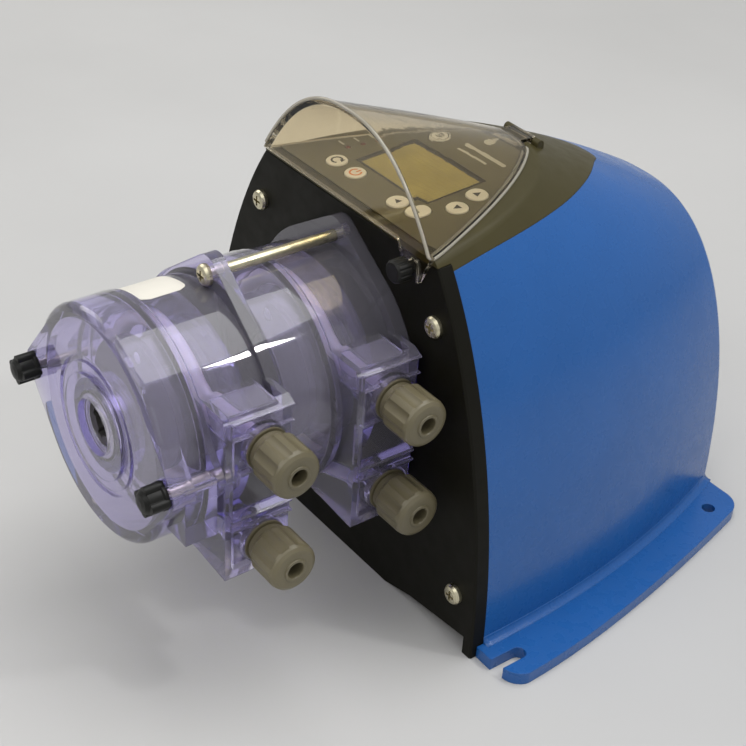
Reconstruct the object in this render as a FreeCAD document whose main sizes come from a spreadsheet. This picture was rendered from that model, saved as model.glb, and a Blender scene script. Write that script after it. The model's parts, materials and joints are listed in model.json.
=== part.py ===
import FreeCAD, Part
import math
import os
import re
import Sketcher
from FreeCAD import Placement, Rotation, Vector

# Peristaltic metering pump: a blue housing with a black front and control top, and two clear
# pump heads stacked on its faceplate, driven by one shaft.
#
# Millimetres. +Z is up, +Y runs from the pump heads to the back of the housing and +X is the
# side of the tube ports. The origin is the middle of the base. Along Y, every place is given
# as a depth: the distance behind the front surface of the faceplate, negative in front of it.

doc = FreeCAD.newDocument("peristaltic_pump")

# ---------------------------------------------------------------- driving dimensions

SIZES = {
    # the whole pump
    "face_y": -90,              # where the faceplate's front surface lies along Y
    "shaft_z": 106.9,           # height of the drive shaft
    "shaft_radius": 5,
    "running_gap": 0.05,        # radial clearance of a turning fit
    "clear_gap": 0.3,           # air between parts of different bodies
    # housing shell
    "shell_half_width": 105,
    "shell_height": 213,
    "shell_depth": 178,
    "shell_taper": 30,          # how much narrower each side gets towards the back
    "shell_taper_power": 2.2,
    "shell_slope": 54,          # how far the crown falls, straight part
    "shell_droop": 14,          # and the extra fall that bends it down
    "shell_power_gain": 0.5,    # the arch squares up a little towards the back
    "shell_wall": 3,
    "shell_edge_radius": 4,
    "flange_thick": 6,
    "flange_half_width": 130,
    "flange_start": 12,
    "flange_end": 169,
    "flange_draw_in": 28.8,
    "flange_front": 3.2,
    "flange_back": 177,
    "flange_back_x": 90,        # where the rounded back corner begins
    "flange_nose": 4.4,         # depth of the rounded finger outside each slot
    "slot_x": 118,
    "slot_depth": 16,
    "slot_radius": 3.3,
    "rear_hole_x": 93.1,
    "rear_hole_depth": 160.7,
    "rear_hole_radius": 3.25,
    "base_plate_thick": 4,
    "base_screw_radius": 1.7,
    "base_head_radius": 3.5,
    "base_boss_height": 12,
    "vent_width": 3,
    "vent_pitch": 10,
    "vent_count": 7,
    "vent_start": 55,
    "vent_half_length": 22,
    "gland_x": 38,
    "gland_z": 34,
    "gland_thread_radius": 6,
    # faceplate
    "faceplate_thick": 7,
    "faceplate_top": 173.5,
    "face_edge": 0.8,
    "screw_radius": 2.4,
    "screw_head_radius": 4.7,
    "screw_head_height": 3.2,
    "face_screw_length": 22,
    "upper_screw_x": 62.5,
    "upper_screw_z": 148,
    "lower_screw_x": 91,
    "lower_screw_z": 27.7,
    "boss_radius": 5.5,
    "boss_length": 18,
    "rib_half": 1.5,
    "shaft_hole_radius": 13.2,  # the hole round the shaft, and the plate bearing in it
    # control top
    "panel_z": 176.5,           # height of the panel's front edge
    "panel_slope": 0.07,        # rise of the panel per unit of depth
    "cap_edge_radius": 5,       # rounding along the panel's long edges
    "cap_wall": 3,
    "cap_tip": 145,
    "light_hole_radius": 1.3,
    "cut_depth": 6,             # how far cutters reach past a thin wall
    "overlay_thick": 0.8,
    "overlay_start": 4,
    "overlay_end": 82,
    "window_width": 48,
    "window_length": 31,
    "window_depth": 38.5,
    "window_ledge": 1.5,
    "key_radius": 4.8,
    "key_travel": 0.4,
    "key_stand": 0.5,
    "key_skirt": 0.5,
    "key_stem": 2,
    "board_thick": 1.6,
    "board_width": 74,
    "board_length": 62,
    "lcd_drop": 9,
    # lid
    "lid_wall": 2.2,
    "lid_reach": 2.6,           # how far the lid's front stands ahead of the faceplate
    "lid_rear": 88,
    "lid_gap": 0.3,
    "lid_height": 217,          # crown at the front
    "lid_slope": 60,            # how far the lid's crown falls over the shell's length
    "lid_droop": 12,
    "lid_half_width": 58.5,     # half width of the rim at the front
    "lid_tip": 94.5,            # depth at which the rim's two sides would meet
    "lid_tip_power": 0.58,
    "lid_power": 2.4,           # roundness of the lid's section
    "lid_side_inset": 2.8,      # the wall measured level, at the rim
    "hinge_depth": 96.5,
    "hinge_z": 182.6,
    "hinge_radius": 2,
    "hinge_pin_radius": 1,
    "hinge_half_width": 7,
    "knuckle_width": 4,
    "tab_x": 48,
    "tab_top_half": 11,
    "tab_low_half": 4.2,
    "tab_low_z": 163.5,
    "knob_z": 169.5,
    "knob_radius": 5,
    "knob_stem_radius": 2.3,
    "knob_start": 6,
    "knob_length": 6.5,
    # drive
    "gearbox_width": 76,
    "gearbox_height": 84,
    "gearbox_length": 42,
    "motor_radius": 30,
    "motor_length": 72,
    "motor_rise": 8,
    "drive_plate_size": 104,
    "drive_plate_thick": 3,
    "plate_screw_inset": 8,
    "plate_screw_hole": 2,
    "fin_depth": 2.5,
    "fin_width": 3,
    "fin_pitch": 8,
    "fin_count": 4,
    "shaft_inner_end": 34,
    "shaft_outer_end": 112,
    # pump heads
    "head_pitch": 62,
    "head_radius": 49.5,
    "head_flange_thick": 6,
    "head_flange_radius": 52,
    "head_wall_end": 38,
    "rear_cover_end": 62,
    "front_cover_end": 58,
    "cover_radius": 51,
    "cover_inner_radius": 45,
    "cover_front_wall": 4,
    "cover_round": 4,
    "track_radius": 41.6,
    "lug_height": 54.6,         # long screws above and below the shaft
    "lug_radius": 8.4,
    "stud_x": 52.3,
    "stud_radius": 2.5,
    "ear_radius": 7.6,
    "bearing_radius": 15,
    "bearing_inner": 10,
    "bearing_length": 8,
    "bearing_recess": 2.6,
    "boss_outer": 23,
    "boss_stand": 1.6,
    "boss_mouth": 12.2,
    # ports on the side of each head
    "port_face_x": 60,
    "port_depth": 16.3,
    "upper_port_z": 117.3,
    "lower_port_z": 71.4,
    "block_inner_x": 33,
    "block_near": 35,
    "block_far": 3.4,
    "block_top": 136,
    "block_bottom": 58.3,
    "neck_radius": 8,
    "neck_length": 13,
    "passage_radius": 2.4,
    # tube
    "tube_plane": 28.5,
    "tube_wrap_radius": 37.3,
    "tube_radius": 3.7,
    "tube_bore": 2.8,
    "tube_port_x": 44,          # where the tube bends into line with its port
    "tube_end_x": 54.4,
    # rotor
    "roller_radius": 7.4,
    "roller_orbit": 25.8,
    "roller_length": 15,
    "roller_start": 20.4,
    "carrier_thick": 3,
    "carrier_hub": 10,
    "roller_pin_radius": 2.5,
    "carrier_rim": 6.5,         # the discs' edge outside the rollers' axes
    "flat_depth": 0.8,          # the shaft's flat
    # nuts
    "nut_radius": 10.8,
    "nut_length": 22.2,
    "nut_front_wall": 5,
    "nut_hole_radius": 3.6,
    "nut_flutes": 9,
    "nut_flute_radius": 4.2,
    "nut_flute_depth": 0.9,
    "thumb_radius": 5.2,
    "thumb_lobe": 2.1,
    "thumb_length": 10,
    "stud_root": 92,            # the studs stand in the front head's ears, from here
    "stud_end": 126,
    "label_thick": 0.25,
    "label_margin": 3.5,
    "label_length": 21.5,
}

sheet = doc.addObject("Spreadsheet::Sheet", "Sizes")
for row, (alias, number) in enumerate(SIZES.items(), start=1):
    sheet.set(f"A{row}", alias.replace("_", " "))
    sheet.set(f"B{row}", str(number))
    sheet.setAlias(f"B{row}", alias)
doc.recompute()

X_AXIS = Vector(1, 0, 0)
Y_AXIS = Vector(0, 1, 0)
Z_AXIS = Vector(0, 0, 1)
FORWARD = Rotation(X_AXIS, 90)      # a turned part's axis points to the front, -Y
SIDEWAYS = Rotation(Y_AXIS, 90)     # and here to the ports' side, +X
UPRIGHT = Rotation()

HEADS = {"rear": "0", "front": "head_pitch"}    # how far each head's back stands ahead
PORTS = {"upper": "upper_port_z", "lower": "lower_port_z"}


known_values = {}


def value(text):
    """The sheet's number for a name, or for an expression of names worked out in a spare cell."""
    if text in SIZES:
        return float(sheet.get(text))
    if text not in known_values:
        sheet.set("D1", "=" + text)
        sheet.recompute()
        known_values[text] = float(sheet.get("D1"))
        sheet.clear("D1")
    return known_values[text]


def linked(text):
    """The same expression, for setExpression."""
    return re.sub(r"[a-z][a-z_]*", lambda found: "Sizes." + found.group(0), text)


# ---------------------------------------------------------------- helpers

subparts = []


def finished(item, label):
    item.Label = label
    subparts.append(item)
    return item


def put(item, x, depth, z, turn=UPRIGHT):
    """Place an object by expressions: across, behind the faceplate's front, and up."""
    item.Placement = Placement(Vector(), turn)
    item.setExpression("Placement.Base.x", linked(x))
    item.setExpression("Placement.Base.y", linked("face_y + " + depth))
    item.setExpression("Placement.Base.z", linked(z))
    return item


def new_body(name):
    return doc.addObject("PartDesign::Body", name)


def new_sketch(body, role, name):
    sketch = body.newObject("Sketcher::SketchObject", name)
    plane = next(part for part in body.Origin.OriginFeatures if part.Role == role)
    sketch.AttachmentSupport = [(plane, "")]
    sketch.MapMode = "FlatFace"
    return sketch


def pin_point(sketch, edge, point, across, up):
    """Fix one end (or the centre) of a sketch edge at a place worked out from the sheet."""
    for kind, text in (("DistanceX", across), ("DistanceY", up)):
        number = sketch.addConstraint(Sketcher.Constraint(kind, -1, 1, edge, point, value(text)))
        name = f"{kind}_{edge}_{point}"
        sketch.renameConstraint(number, name)
        sketch.setExpression("Constraints." + name, linked(text))


def outline(sketch, corners):
    """A closed outline of straight edges through corners given as pairs of expressions."""
    places = [Vector(value(across), value(up), 0) for across, up in corners]
    first = sketch.GeometryCount
    count = len(corners)
    for index in range(count):
        sketch.addGeometry(Part.LineSegment(places[index], places[(index + 1) % count]))
    for index in range(count):
        following = first + (index + 1) % count
        sketch.addConstraint(Sketcher.Constraint("Coincident", first + index, 2, following, 1))
    for index, (across, up) in enumerate(corners):
        pin_point(sketch, first + index, 1, across, up)


def ring(sketch, radius, across="0", up="0"):
    """A circle in a sketch."""
    centre = Vector(value(across), value(up), 0)
    edge = sketch.addGeometry(Part.Circle(centre, Z_AXIS, value(radius)))
    pin_point(sketch, edge, 3, across, up)
    number = sketch.addConstraint(Sketcher.Constraint("Radius", edge, value(radius)))
    name = f"Radius_{edge}"
    sketch.renameConstraint(number, name)
    sketch.setExpression("Constraints." + name, linked(radius))


def turned(name, profile):
    """A turned piece: its half profile, as radius and height, spun about the body's Z."""
    body = new_body(name)
    sketch = new_sketch(body, "XZ_Plane", name + "_profile")
    outline(sketch, profile)
    spin = body.newObject("PartDesign::Revolution", name + "_turning")
    spin.Profile = sketch
    spin.ReferenceAxis = (sketch, ["V_Axis"])
    spin.Angle = 360
    return body


def padded(body, sketch, length, name="Pad"):
    pad = body.newObject("PartDesign::Pad", name)
    pad.Profile = sketch
    pad.Length = value(length)
    pad.setExpression("Length", linked(length))
    return pad


def pocketed(body, sketch, length, backwards, name="Pocket"):
    """Cut a sketch into the body, and make sure that it does cut."""
    doc.recompute()
    volume_before = body.Shape.Volume
    pocket = body.newObject("PartDesign::Pocket", name)
    pocket.Profile = sketch
    pocket.Length = value(length)
    pocket.setExpression("Length", linked(length))
    pocket.Reversed = backwards
    doc.recompute()
    if body.Shape.Volume >= volume_before:
        raise RuntimeError(f"{body.Name}: {name} cuts nothing")
    return pocket


def repeated(body, feature, count, name="Repeat"):
    """Repeat a feature evenly about the body's Z axis."""
    axis = next(part for part in body.Origin.OriginFeatures if part.Role == "Z_Axis")
    pattern = body.newObject("PartDesign::PolarPattern", name)
    pattern.Originals = [feature]
    pattern.Axis = (axis, [""])
    pattern.Angle = 360
    pattern.Occurrences = int(value(count))
    body.Tip = pattern
    return pattern


def group(label, members):
    """Identical fasteners: separate solids in one sub-part."""
    compound = doc.addObject("Part::Compound", label)
    compound.Links = members
    return finished(compound, label)


def shaped(label, shape):
    """A sub-part whose shape this script works out with Part's own functions."""
    item = doc.addObject("Part::Feature", label)
    item.Shape = shape
    item.setExpression("Placement.Base.y", linked("face_y"))
    return finished(item, label)


# Shapes for shaped() are made with the faceplate's front surface at Y = 0, so Y is the depth.

def drum(radius, start, end, x=0.0, z=None):
    """A round bar along the depth, from start to end."""
    height = value("shaft_z") if z is None else z
    return Part.makeCylinder(radius, end - start, Vector(x, start, height), Y_AXIS)


def slab(x_range, depth_range, z_range):
    """A box from its ranges."""
    size = [high - low for low, high in (x_range, depth_range, z_range)]
    return Part.makeBox(*size, Vector(x_range[0], depth_range[0], z_range[0]))


def prism(points, push):
    """A straight-sided solid: a flat outline pushed along a vector."""
    return Part.Face(Part.makePolygon(points + [points[0]])).extrude(push)


def joined(shapes):
    return shapes[0].fuse(shapes[1:]).removeSplitter()


# ---------------------------------------------------------------- the shell's form

def shell_size(depth):
    """The arch's half width, crown height and roundness (2 is an ellipse) at a depth."""
    along = max(depth, 0.0) / value("shell_depth")
    width = value("shell_half_width") - value("shell_taper") * along ** value("shell_taper_power")
    crown = value("shell_height") - value("shell_slope") * along - value("shell_droop") * along ** 3
    return width, crown, 2.0 + value("shell_power_gain") * along


def shell_arch(depth, inset=0.0, foot=0.0):
    """The shell's section at a depth: an arch on a flat base, as a closed wire."""
    width, crown, roundness = shell_size(depth)
    power = 2.0 / roundness
    steps = 40
    points = []
    for step in range(steps + 1):
        angle = math.pi * step / steps
        across = abs(math.cos(angle)) ** power * math.copysign(1.0, math.cos(angle))
        up = math.sin(angle) ** power if 0 < step < steps else 0.0
        points.append(Vector((width - inset) * across, depth, (crown - inset) * up))
    arch = Part.BSplineCurve()
    arch.interpolate(points)
    right = points[0]
    left = points[-1]
    if foot == 0.0:
        return Part.Wire([arch.toShape(), Part.LineSegment(left, right).toShape()])
    low_left = left - Vector(0, 0, foot)
    low_right = right - Vector(0, 0, foot)
    edges = [
        arch.toShape(),
        Part.LineSegment(left, low_left).toShape(),
        Part.LineSegment(low_left, low_right).toShape(),
        Part.LineSegment(low_right, right).toShape(),
    ]
    return Part.Wire(edges)


def shell_loft(start, end, inset=0.0, foot=0.0):
    """The solid form of the shell between two depths, or the same form drawn in by inset."""
    stations = 8
    depths = [start + (end - start) * step / stations for step in range(stations + 1)]
    return Part.makeLoft([shell_arch(depth, inset, foot) for depth in depths], True, False)


def panel_height(depth):
    return value("panel_z") + value("panel_slope") * depth


# The joint between the control top and the blue housing, seen from the side: depth and height.
PARTING = [
    (-5, 170.0), (6, 170.9), (23, 172.1), (44, 172.7), (68, 172.7), (86, 172.3), (104, 171.5),
    (115, 170.4), (123, 169.1), (129, 167.6), (135, 165.6), (141, 163.7), (150, 161.2),
]


def side_view_block(points):
    """A block across the whole width, from a straight-edged outline seen from the side."""
    reach = value("flange_half_width") + 20
    corners = [Vector(-reach, depth, height) for depth, height in points]
    return prism(corners, Vector(2 * reach, 0, 0))


def parting_block(edge_z, start, end):
    """Everything between the parting line and a level, over a range of depths."""
    reach = value("flange_half_width") + 20
    line = Part.BSplineCurve()
    line.interpolate([Vector(-reach, depth, height) for depth, height in PARTING])
    first = line.StartPoint
    last = line.EndPoint
    foot = Vector(-reach, first.y, edge_z)
    far_foot = Vector(-reach, last.y, edge_z)
    edges = [
        line.toShape(), Part.LineSegment(last, far_foot).toShape(),
        Part.LineSegment(far_foot, foot).toShape(), Part.LineSegment(foot, first).toShape(),
    ]
    block = Part.Face(Part.Wire(edges)).extrude(Vector(2 * reach, 0, 0))
    return block.common(slab((-reach, reach), (start, end), (-10, 175)))


def below_parting():
    far = value("shell_depth") + 10
    rear_of_line = slab((-150, 150), (145, far), (-10, 175))
    return parting_block(-10, -3, 145.01).fuse(rear_of_line)


# ---------------------------------------------------------------- housing

def flange_outline():
    """The foot flange on the port side: open slot in front, round hole at the back."""
    front = value("flange_front")
    back = value("flange_back")
    half = value("flange_half_width")
    start = value("flange_start")
    end = value("flange_end")
    slot_left = value("slot_x - slot_radius")
    slot_right = value("slot_x + slot_radius")
    slot_depth = value("slot_depth")
    edge_points = []
    steps = 6
    for step in range(steps + 1):
        along = step / steps
        across = half - value("flange_draw_in") * along ** 1.5
        edge_points.append(Vector(across, start + (end - start) * along, 0))
    edge = Part.BSplineCurve()
    edge.interpolate(edge_points)
    tip = edge_points[-1]
    corner_end = Vector(value("flange_back_x"), back, 0)
    finger_start = Vector(slot_right, value("flange_nose"), 0)
    finger_bulge = Vector(half - 2.8, value("flange_nose + 2.5"), 0)
    corner_bulge = Vector(value("flange_back_x + 7.6"), back - 2.6, 0)
    return Part.Wire([
        Part.LineSegment(Vector(0, front, 0), Vector(slot_left, front, 0)).toShape(),
        Part.LineSegment(Vector(slot_left, front, 0), Vector(slot_left, slot_depth, 0)).toShape(),
        Part.Arc(
            Vector(slot_left, slot_depth, 0),
            Vector(value("slot_x"), slot_depth + value("slot_radius"), 0),
            Vector(slot_right, slot_depth, 0),
        ).toShape(),
        Part.LineSegment(Vector(slot_right, slot_depth, 0), finger_start).toShape(),
        Part.Arc(finger_start, finger_bulge, edge_points[0]).toShape(),
        edge.toShape(),
        Part.Arc(tip, corner_bulge, corner_end).toShape(),
        Part.LineSegment(corner_end, Vector(0, back, 0)).toShape(),
        Part.LineSegment(Vector(0, back, 0), Vector(0, front, 0)).toShape(),
    ])


def screw_boss(x, z):
    """A boss for a faceplate screw, with a rib that runs outwards into the shell's wall."""
    start = value("faceplate_thick")
    end = start + value("boss_length")
    half = value("rib_half")
    outward = math.copysign(30, x)
    rib = slab(sorted((x, x + outward)), (start, end), (z - half, z + half))
    return drum(value("boss_radius"), start, end, x, z).fuse(rib)


def base_boss(x, depth):
    """A boss for a base screw, with a rib that runs outwards into the shell's wall."""
    floor = value("base_plate_thick")
    height = value("base_boss_height")
    half = value("rib_half")
    boss = Part.makeCylinder(value("boss_radius"), height, Vector(x, depth, floor))
    outward = math.copysign(15, x)
    rib = slab(sorted((x, x + outward)), (depth - half, depth + half), (floor, floor + height))
    return boss.fuse(rib)


def base_screw_places():
    return [(-95, 24), (95, 24), (-78, 138), (78, 138)]


def housing():
    start = value("faceplate_thick")
    end = value("shell_depth")
    outer = shell_loft(start, end)
    back_edges = [
        edge for edge in outer.Edges
        if edge.BoundBox.YMin > end - 0.01 and edge.BoundBox.ZMax > 1
    ]
    outer = outer.makeFillet(value("shell_edge_radius"), back_edges)
    wall = value("shell_wall")
    inner = shell_loft(start, end - wall, wall, 5)
    thick = value("flange_thick")
    right = Part.Face(flange_outline()).extrude(Vector(0, 0, thick))
    left = right.mirror(Vector(), X_AXIS)
    flange = right.fuse(left)
    beside_plate = value("shell_half_width") + 0.2
    flange = flange.cut(slab((-beside_plate, beside_plate), (-1, start), (-1, thick + 1)))
    holes = []
    for side in (-1, 1):
        at = Vector(side * value("rear_hole_x"), value("rear_hole_depth"), -1)
        holes.append(Part.makeCylinder(value("rear_hole_radius"), thick + 2, at))
    shell = outer.fuse(flange).cut(inner)
    bosses = []
    for side in (-1, 1):
        bosses.append(screw_boss(side * value("upper_screw_x"), value("upper_screw_z")))
        bosses.append(screw_boss(side * value("lower_screw_x"), value("lower_screw_z")))
    bosses += [base_boss(x, depth) for x, depth in base_screw_places()]
    bosses = [boss.common(shell_loft(start, end - 1, 0.5)) for boss in bosses]
    shell = shell.fuse(bosses)
    for side in (-1, 1):
        for name in ("upper", "lower"):
            x = side * value(name + "_screw_x")
            hole_end = value("faceplate_thick + boss_length - 1")
            holes.append(drum(value("screw_radius"), 0, hole_end, x, value(name + "_screw_z")))
    for x, depth in base_screw_places():
        radius = value("base_screw_radius + running_gap")
        holes.append(Part.makeCylinder(radius, value("base_boss_height + 1"), Vector(x, depth, 0)))
    gland_hole = value("gland_thread_radius + 0.2")
    holes.append(drum(gland_hole, end - 8, end + 1, -value("gland_x"), value("gland_z")))
    return shell.cut(holes).common(below_parting()).removeSplitter()


shaped("housing", housing())


def base_plate():
    """The plate that closes the underside, inside the shell."""
    wall = value("shell_wall") + 0.4
    start = value("faceplate_thick") + 1
    plan = shell_loft(start, value("shell_depth") - wall, wall, 5)
    thick = value("base_plate_thick")
    half = value("flange_half_width")
    plate = plan.common(slab((-half, half), (start, value("shell_depth")), (0, thick)))
    cuts = []
    for x, depth in base_screw_places():
        hole = value("base_screw_radius + clear_gap")
        sink = value("base_head_radius + clear_gap")
        cuts.append(Part.makeCylinder(hole, thick + 2, Vector(x, depth, -1)))
        cuts.append(Part.makeCylinder(sink, 2.2, Vector(x, depth, 0)))
    reach = value("vent_half_length")
    for index in range(int(value("vent_count"))):
        near = value("vent_start") + value("vent_pitch") * index
        cuts.append(slab((-reach, reach), (near, near + value("vent_width")), (-1, thick + 1)))
    return plate.cut(cuts)


shaped("base_plate", base_plate())


def base_screw(number):
    """A slotted cap screw that stands up into its boss; the slots are cut in its underside."""
    body = turned(f"base_screw_{number}", [
        ("0", "0"), ("base_head_radius", "0"), ("base_head_radius", "2"),
        ("base_screw_radius", "2"), ("base_screw_radius", "base_boss_height"),
        ("0", "base_boss_height"),
    ])
    sketch = new_sketch(body, "XY_Plane", "drive")
    outline(sketch, [("0 - 2", "0 - 0.4"), ("2", "0 - 0.4"), ("2", "0.4"), ("0 - 2", "0.4")])
    slot = pocketed(body, sketch, "1", True, "slot")
    repeated(body, slot, "2 + 2")
    return body


members = []
for index, (x, depth) in enumerate(base_screw_places()):
    members.append(put(base_screw(index), f"0 + {x}", f"{depth}", "0.1"))
group("base_screws", members)


# ---------------------------------------------------------------- faceplate

# The hollow under each side of the faceplate's lower edge: distance from the middle and height.
FOOT_RELIEF = [(40, -1), (62, 4.5), (82, 7), (99.5, 9), (99.5, -1)]


def faceplate():
    """The black plate in front: the shell's arch with its top cut level."""
    thick = value("faceplate_thick")
    form = Part.Face(shell_arch(0)).extrude(Vector(0, thick, 0))
    top = value("faceplate_top")
    half = value("flange_half_width")
    plate = form.common(slab((-half, half), (0, thick), (0, top)))
    rim = [
        edge for edge in plate.Edges
        if edge.BoundBox.YMax < 0.01 and edge.BoundBox.ZMax > 1
    ]
    plate = plate.makeChamfer(value("face_edge"), rim)
    foot_reliefs = []
    for side in (-1, 1):
        corners = [Vector(side * x, -1, z) for x, z in FOOT_RELIEF]
        foot_reliefs.append(prism(corners, Vector(0, thick + 2, 0)))
    holes = [drum(value("shaft_hole_radius"), -1, thick + 1)]
    for side in (-1, 1):
        lug_z = value("shaft_z") + side * value("lug_height")
        holes.append(drum(value("screw_radius"), -1, thick + 1, 0, lug_z))
        for name in ("upper", "lower"):
            x = side * value(name + "_screw_x")
            z = value(name + "_screw_z")
            holes.append(drum(value("screw_radius") + 0.3, -1, thick + 1, x, z))
    stem = value("knob_stem_radius + running_gap")
    holes.append(drum(stem, -1, thick + 1, value("tab_x"), value("knob_z")))
    for x, z in drive_plate_screws():
        holes.append(drum(value("plate_screw_hole"), 2, thick + 1, x, z))
    return plate.cut(foot_reliefs + holes)


def drive_plate_screws():
    reach = value("drive_plate_size / 2 - plate_screw_inset")
    middle = value("shaft_z")
    return [(x, middle + z) for x in (-reach, reach) for z in (-reach, reach)]


shaped("faceplate", faceplate())


def pan_screw(name, length):
    """A cross-recessed pan-head screw; its head's seat is at height 0 and its shank below."""
    rise = "screw_head_height"
    end = f"0 - ({length})"
    body = turned(name, [
        ("0", end), ("screw_radius - 0.6", end), ("screw_radius", end + " + 1"),
        ("screw_radius", "0"), ("screw_head_radius", "0"),
        ("screw_head_radius", rise + " * 0.45"), ("screw_head_radius * 0.86", rise + " * 0.78"),
        ("screw_head_radius * 0.6", rise + " * 0.95"), ("0", rise),
    ])
    sketch = new_sketch(body, "XY_Plane", name + "_cross")
    sketch.AttachmentOffset = Placement(Vector(0, 0, value(rise)), Rotation())
    outline(sketch, [
        ("0 - 2.5", "0 - 0.55"), ("2.5", "0 - 0.55"), ("2.5", "0.55"), ("0 - 2.5", "0.55"),
    ])
    slot = pocketed(body, sketch, "1.7", False, name + "_slot")
    repeated(body, slot, "2 + 2")
    return body


members = []
for name in ("upper", "lower"):
    for side, sign in (("left", "0 - "), ("right", "0 + ")):
        screw = pan_screw(f"face_screw_{name}_{side}", "face_screw_length")
        members.append(put(screw, f"{sign}{name}_screw_x", "0", f"{name}_screw_z", FORWARD))
group("face_screws", members)


# ---------------------------------------------------------------- control top

PANEL_TURN = Rotation(X_AXIS, math.degrees(math.atan(value("panel_slope"))))


def on_panel(item, x, along, rise):
    """Place a flat piece on the sloping panel: across, up the slope, and above its surface."""
    tilt = math.atan(value("panel_slope"))
    item.Placement = Placement(Vector(), PANEL_TURN)
    move = f"({along}) * {math.cos(tilt):.6f} - ({rise}) * {math.sin(tilt):.6f}"
    lift = f"({along}) * {math.sin(tilt):.6f} + ({rise}) * {math.cos(tilt):.6f}"
    item.setExpression("Placement.Base.x", linked(x))
    item.setExpression("Placement.Base.y", linked("face_y + " + move))
    item.setExpression("Placement.Base.z", linked("panel_z + " + lift))
    return item


def panel_solid(shape):
    """Move a shape made flat at the origin onto the sloping panel."""
    moved = shape.copy()
    moved.Placement = Placement(Vector(0, 0, value("panel_z")), PANEL_TURN)
    return moved


KEYS = {
    "clear_key": (-28, 16),
    "power_key": (-14.5, 16),
    "left_key": (15.3, 15.7),
    "right_key": (26.3, 17),
    "down_key": (33.8, 30.3),
    "up_key": (30.4, 43.6),
    "mode_key": (-19.5, 64),
}
LIGHTS = [(-35, 27), (-33.5, 34), (-32, 41)]


def cap_form():
    """The control top's outer form: the shell between the parting line and the panel."""
    tip = value("cap_tip")
    lap = value("faceplate_thick") + 0.1
    above_joint = parting_block(175, lap, tip)
    upper = side_view_block([
        (lap, 174.9), (tip, 174.9), (tip, panel_height(tip)), (lap, panel_height(lap)),
    ])
    over_faceplate = side_view_block([
        (0, value("faceplate_top") + 0.1), (lap, value("faceplate_top") + 0.1),
        (lap, panel_height(lap)), (0, panel_height(0)),
    ])
    profile = joined([above_joint, upper, over_faceplate])
    form = shell_loft(0, value("shell_depth")).common(profile)
    crease = [
        edge for edge in form.Edges
        if edge.BoundBox.ZMin > value("panel_z") - 0.1 and edge.BoundBox.YLength > 20
    ]
    return form.makeFillet(value("cap_edge_radius"), crease)


def nose_cap():
    """The black control top: a thin shell with openings, and two eyes for the lid's hinge."""
    wall = value("cap_wall")
    form = cap_form()
    far = value("shell_depth")
    under_panel = side_view_block([
        (value("faceplate_thick") + 2.5, 0), (far, 0), (far, panel_height(far) - wall),
        (value("faceplate_thick") + 2.5, panel_height(value("faceplate_thick")) - wall),
    ])
    hollow = shell_loft(-1, value("shell_depth") - wall, wall).common(under_panel)
    cap = form.cut(hollow)
    cuts = []
    half_width = value("window_width / 2 - window_ledge")
    half_length = value("window_length / 2 - window_ledge")
    middle = value("window_depth")
    deep = value("cut_depth")
    cuts.append(panel_solid(slab((-half_width, half_width),
                                 (middle - half_length, middle + half_length), (-deep, deep))))
    for x, along in KEYS.values():
        hole = Part.makeCylinder(value("key_radius + clear_gap"), 2 * deep, Vector(x, along, -deep))
        cuts.append(panel_solid(hole))
    for x, along in LIGHTS:
        hole = Part.makeCylinder(value("light_hole_radius"), 2 * deep, Vector(x, along, -deep))
        cuts.append(panel_solid(hole))
    cap = cap.cut(cuts)
    knuckles = []
    inner = value("hinge_half_width + clear_gap")
    outer = inner + value("knuckle_width")
    for side in (-1, 1):
        low, high = sorted((side * inner, side * outer))
        at = Vector(low, value("hinge_depth"), value("hinge_z"))
        eye = Part.makeCylinder(value("hinge_radius"), high - low, at, X_AXIS)
        radius = value("hinge_radius")
        foot = at.z - radius - 1.5
        stand = slab((low, high), (at.y - radius, at.y + radius), (foot, at.z))
        knuckles.append(eye.fuse(stand))
    under_barrel = Part.makeCylinder(value("hinge_radius + 0.4"), 2 * inner,
                                     Vector(-inner, value("hinge_depth"), value("hinge_z")), X_AXIS)
    pin = Part.makeCylinder(value("hinge_pin_radius"), 2 * outer + 2,
                            Vector(-outer - 1, value("hinge_depth"), value("hinge_z")), X_AXIS)
    return cap.cut(under_barrel).fuse(knuckles).cut(pin).removeSplitter()


shaped("nose_cap", nose_cap())


def lid_size(depth):
    """The lid's half width at its rim and the height of its crown, at a depth."""
    share = 1 - max(depth, 0.0) / value("lid_tip")
    half_width = value("lid_half_width") * share ** value("lid_tip_power")
    along = depth / value("shell_depth")
    crown = value("lid_height") - value("lid_slope") * along - value("lid_droop") * along ** 3
    return half_width, crown


def panel_outline(start, end):
    """The overlay's outline in the panel's plane, clear of the lid's inner wall all round."""
    steps = 16
    right_side = []
    for step in range(steps + 1):
        depth = start + (end - start) * step / steps
        half_width, crown = lid_size(depth)
        rise = crown - value("lid_wall") - panel_height(depth)
        leaning_in = (1 - value("overlay_thick + clear_gap") / rise) ** (1 / value("lid_power"))
        across = (half_width - value("lid_side_inset")) * leaning_in - value("clear_gap")
        slope_length = depth / math.cos(math.atan(value("panel_slope")))
        right_side.append(Vector(across, slope_length, 0))
    left_side = [Vector(-point.x, point.y, 0) for point in reversed(right_side)]
    right = Part.BSplineCurve()
    right.interpolate(right_side)
    left = Part.BSplineCurve()
    left.interpolate(left_side)
    return Part.Wire([
        right.toShape(),
        Part.LineSegment(right_side[-1], left_side[0]).toShape(),
        left.toShape(),
        Part.LineSegment(left_side[-1], right_side[0]).toShape(),
    ])


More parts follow.
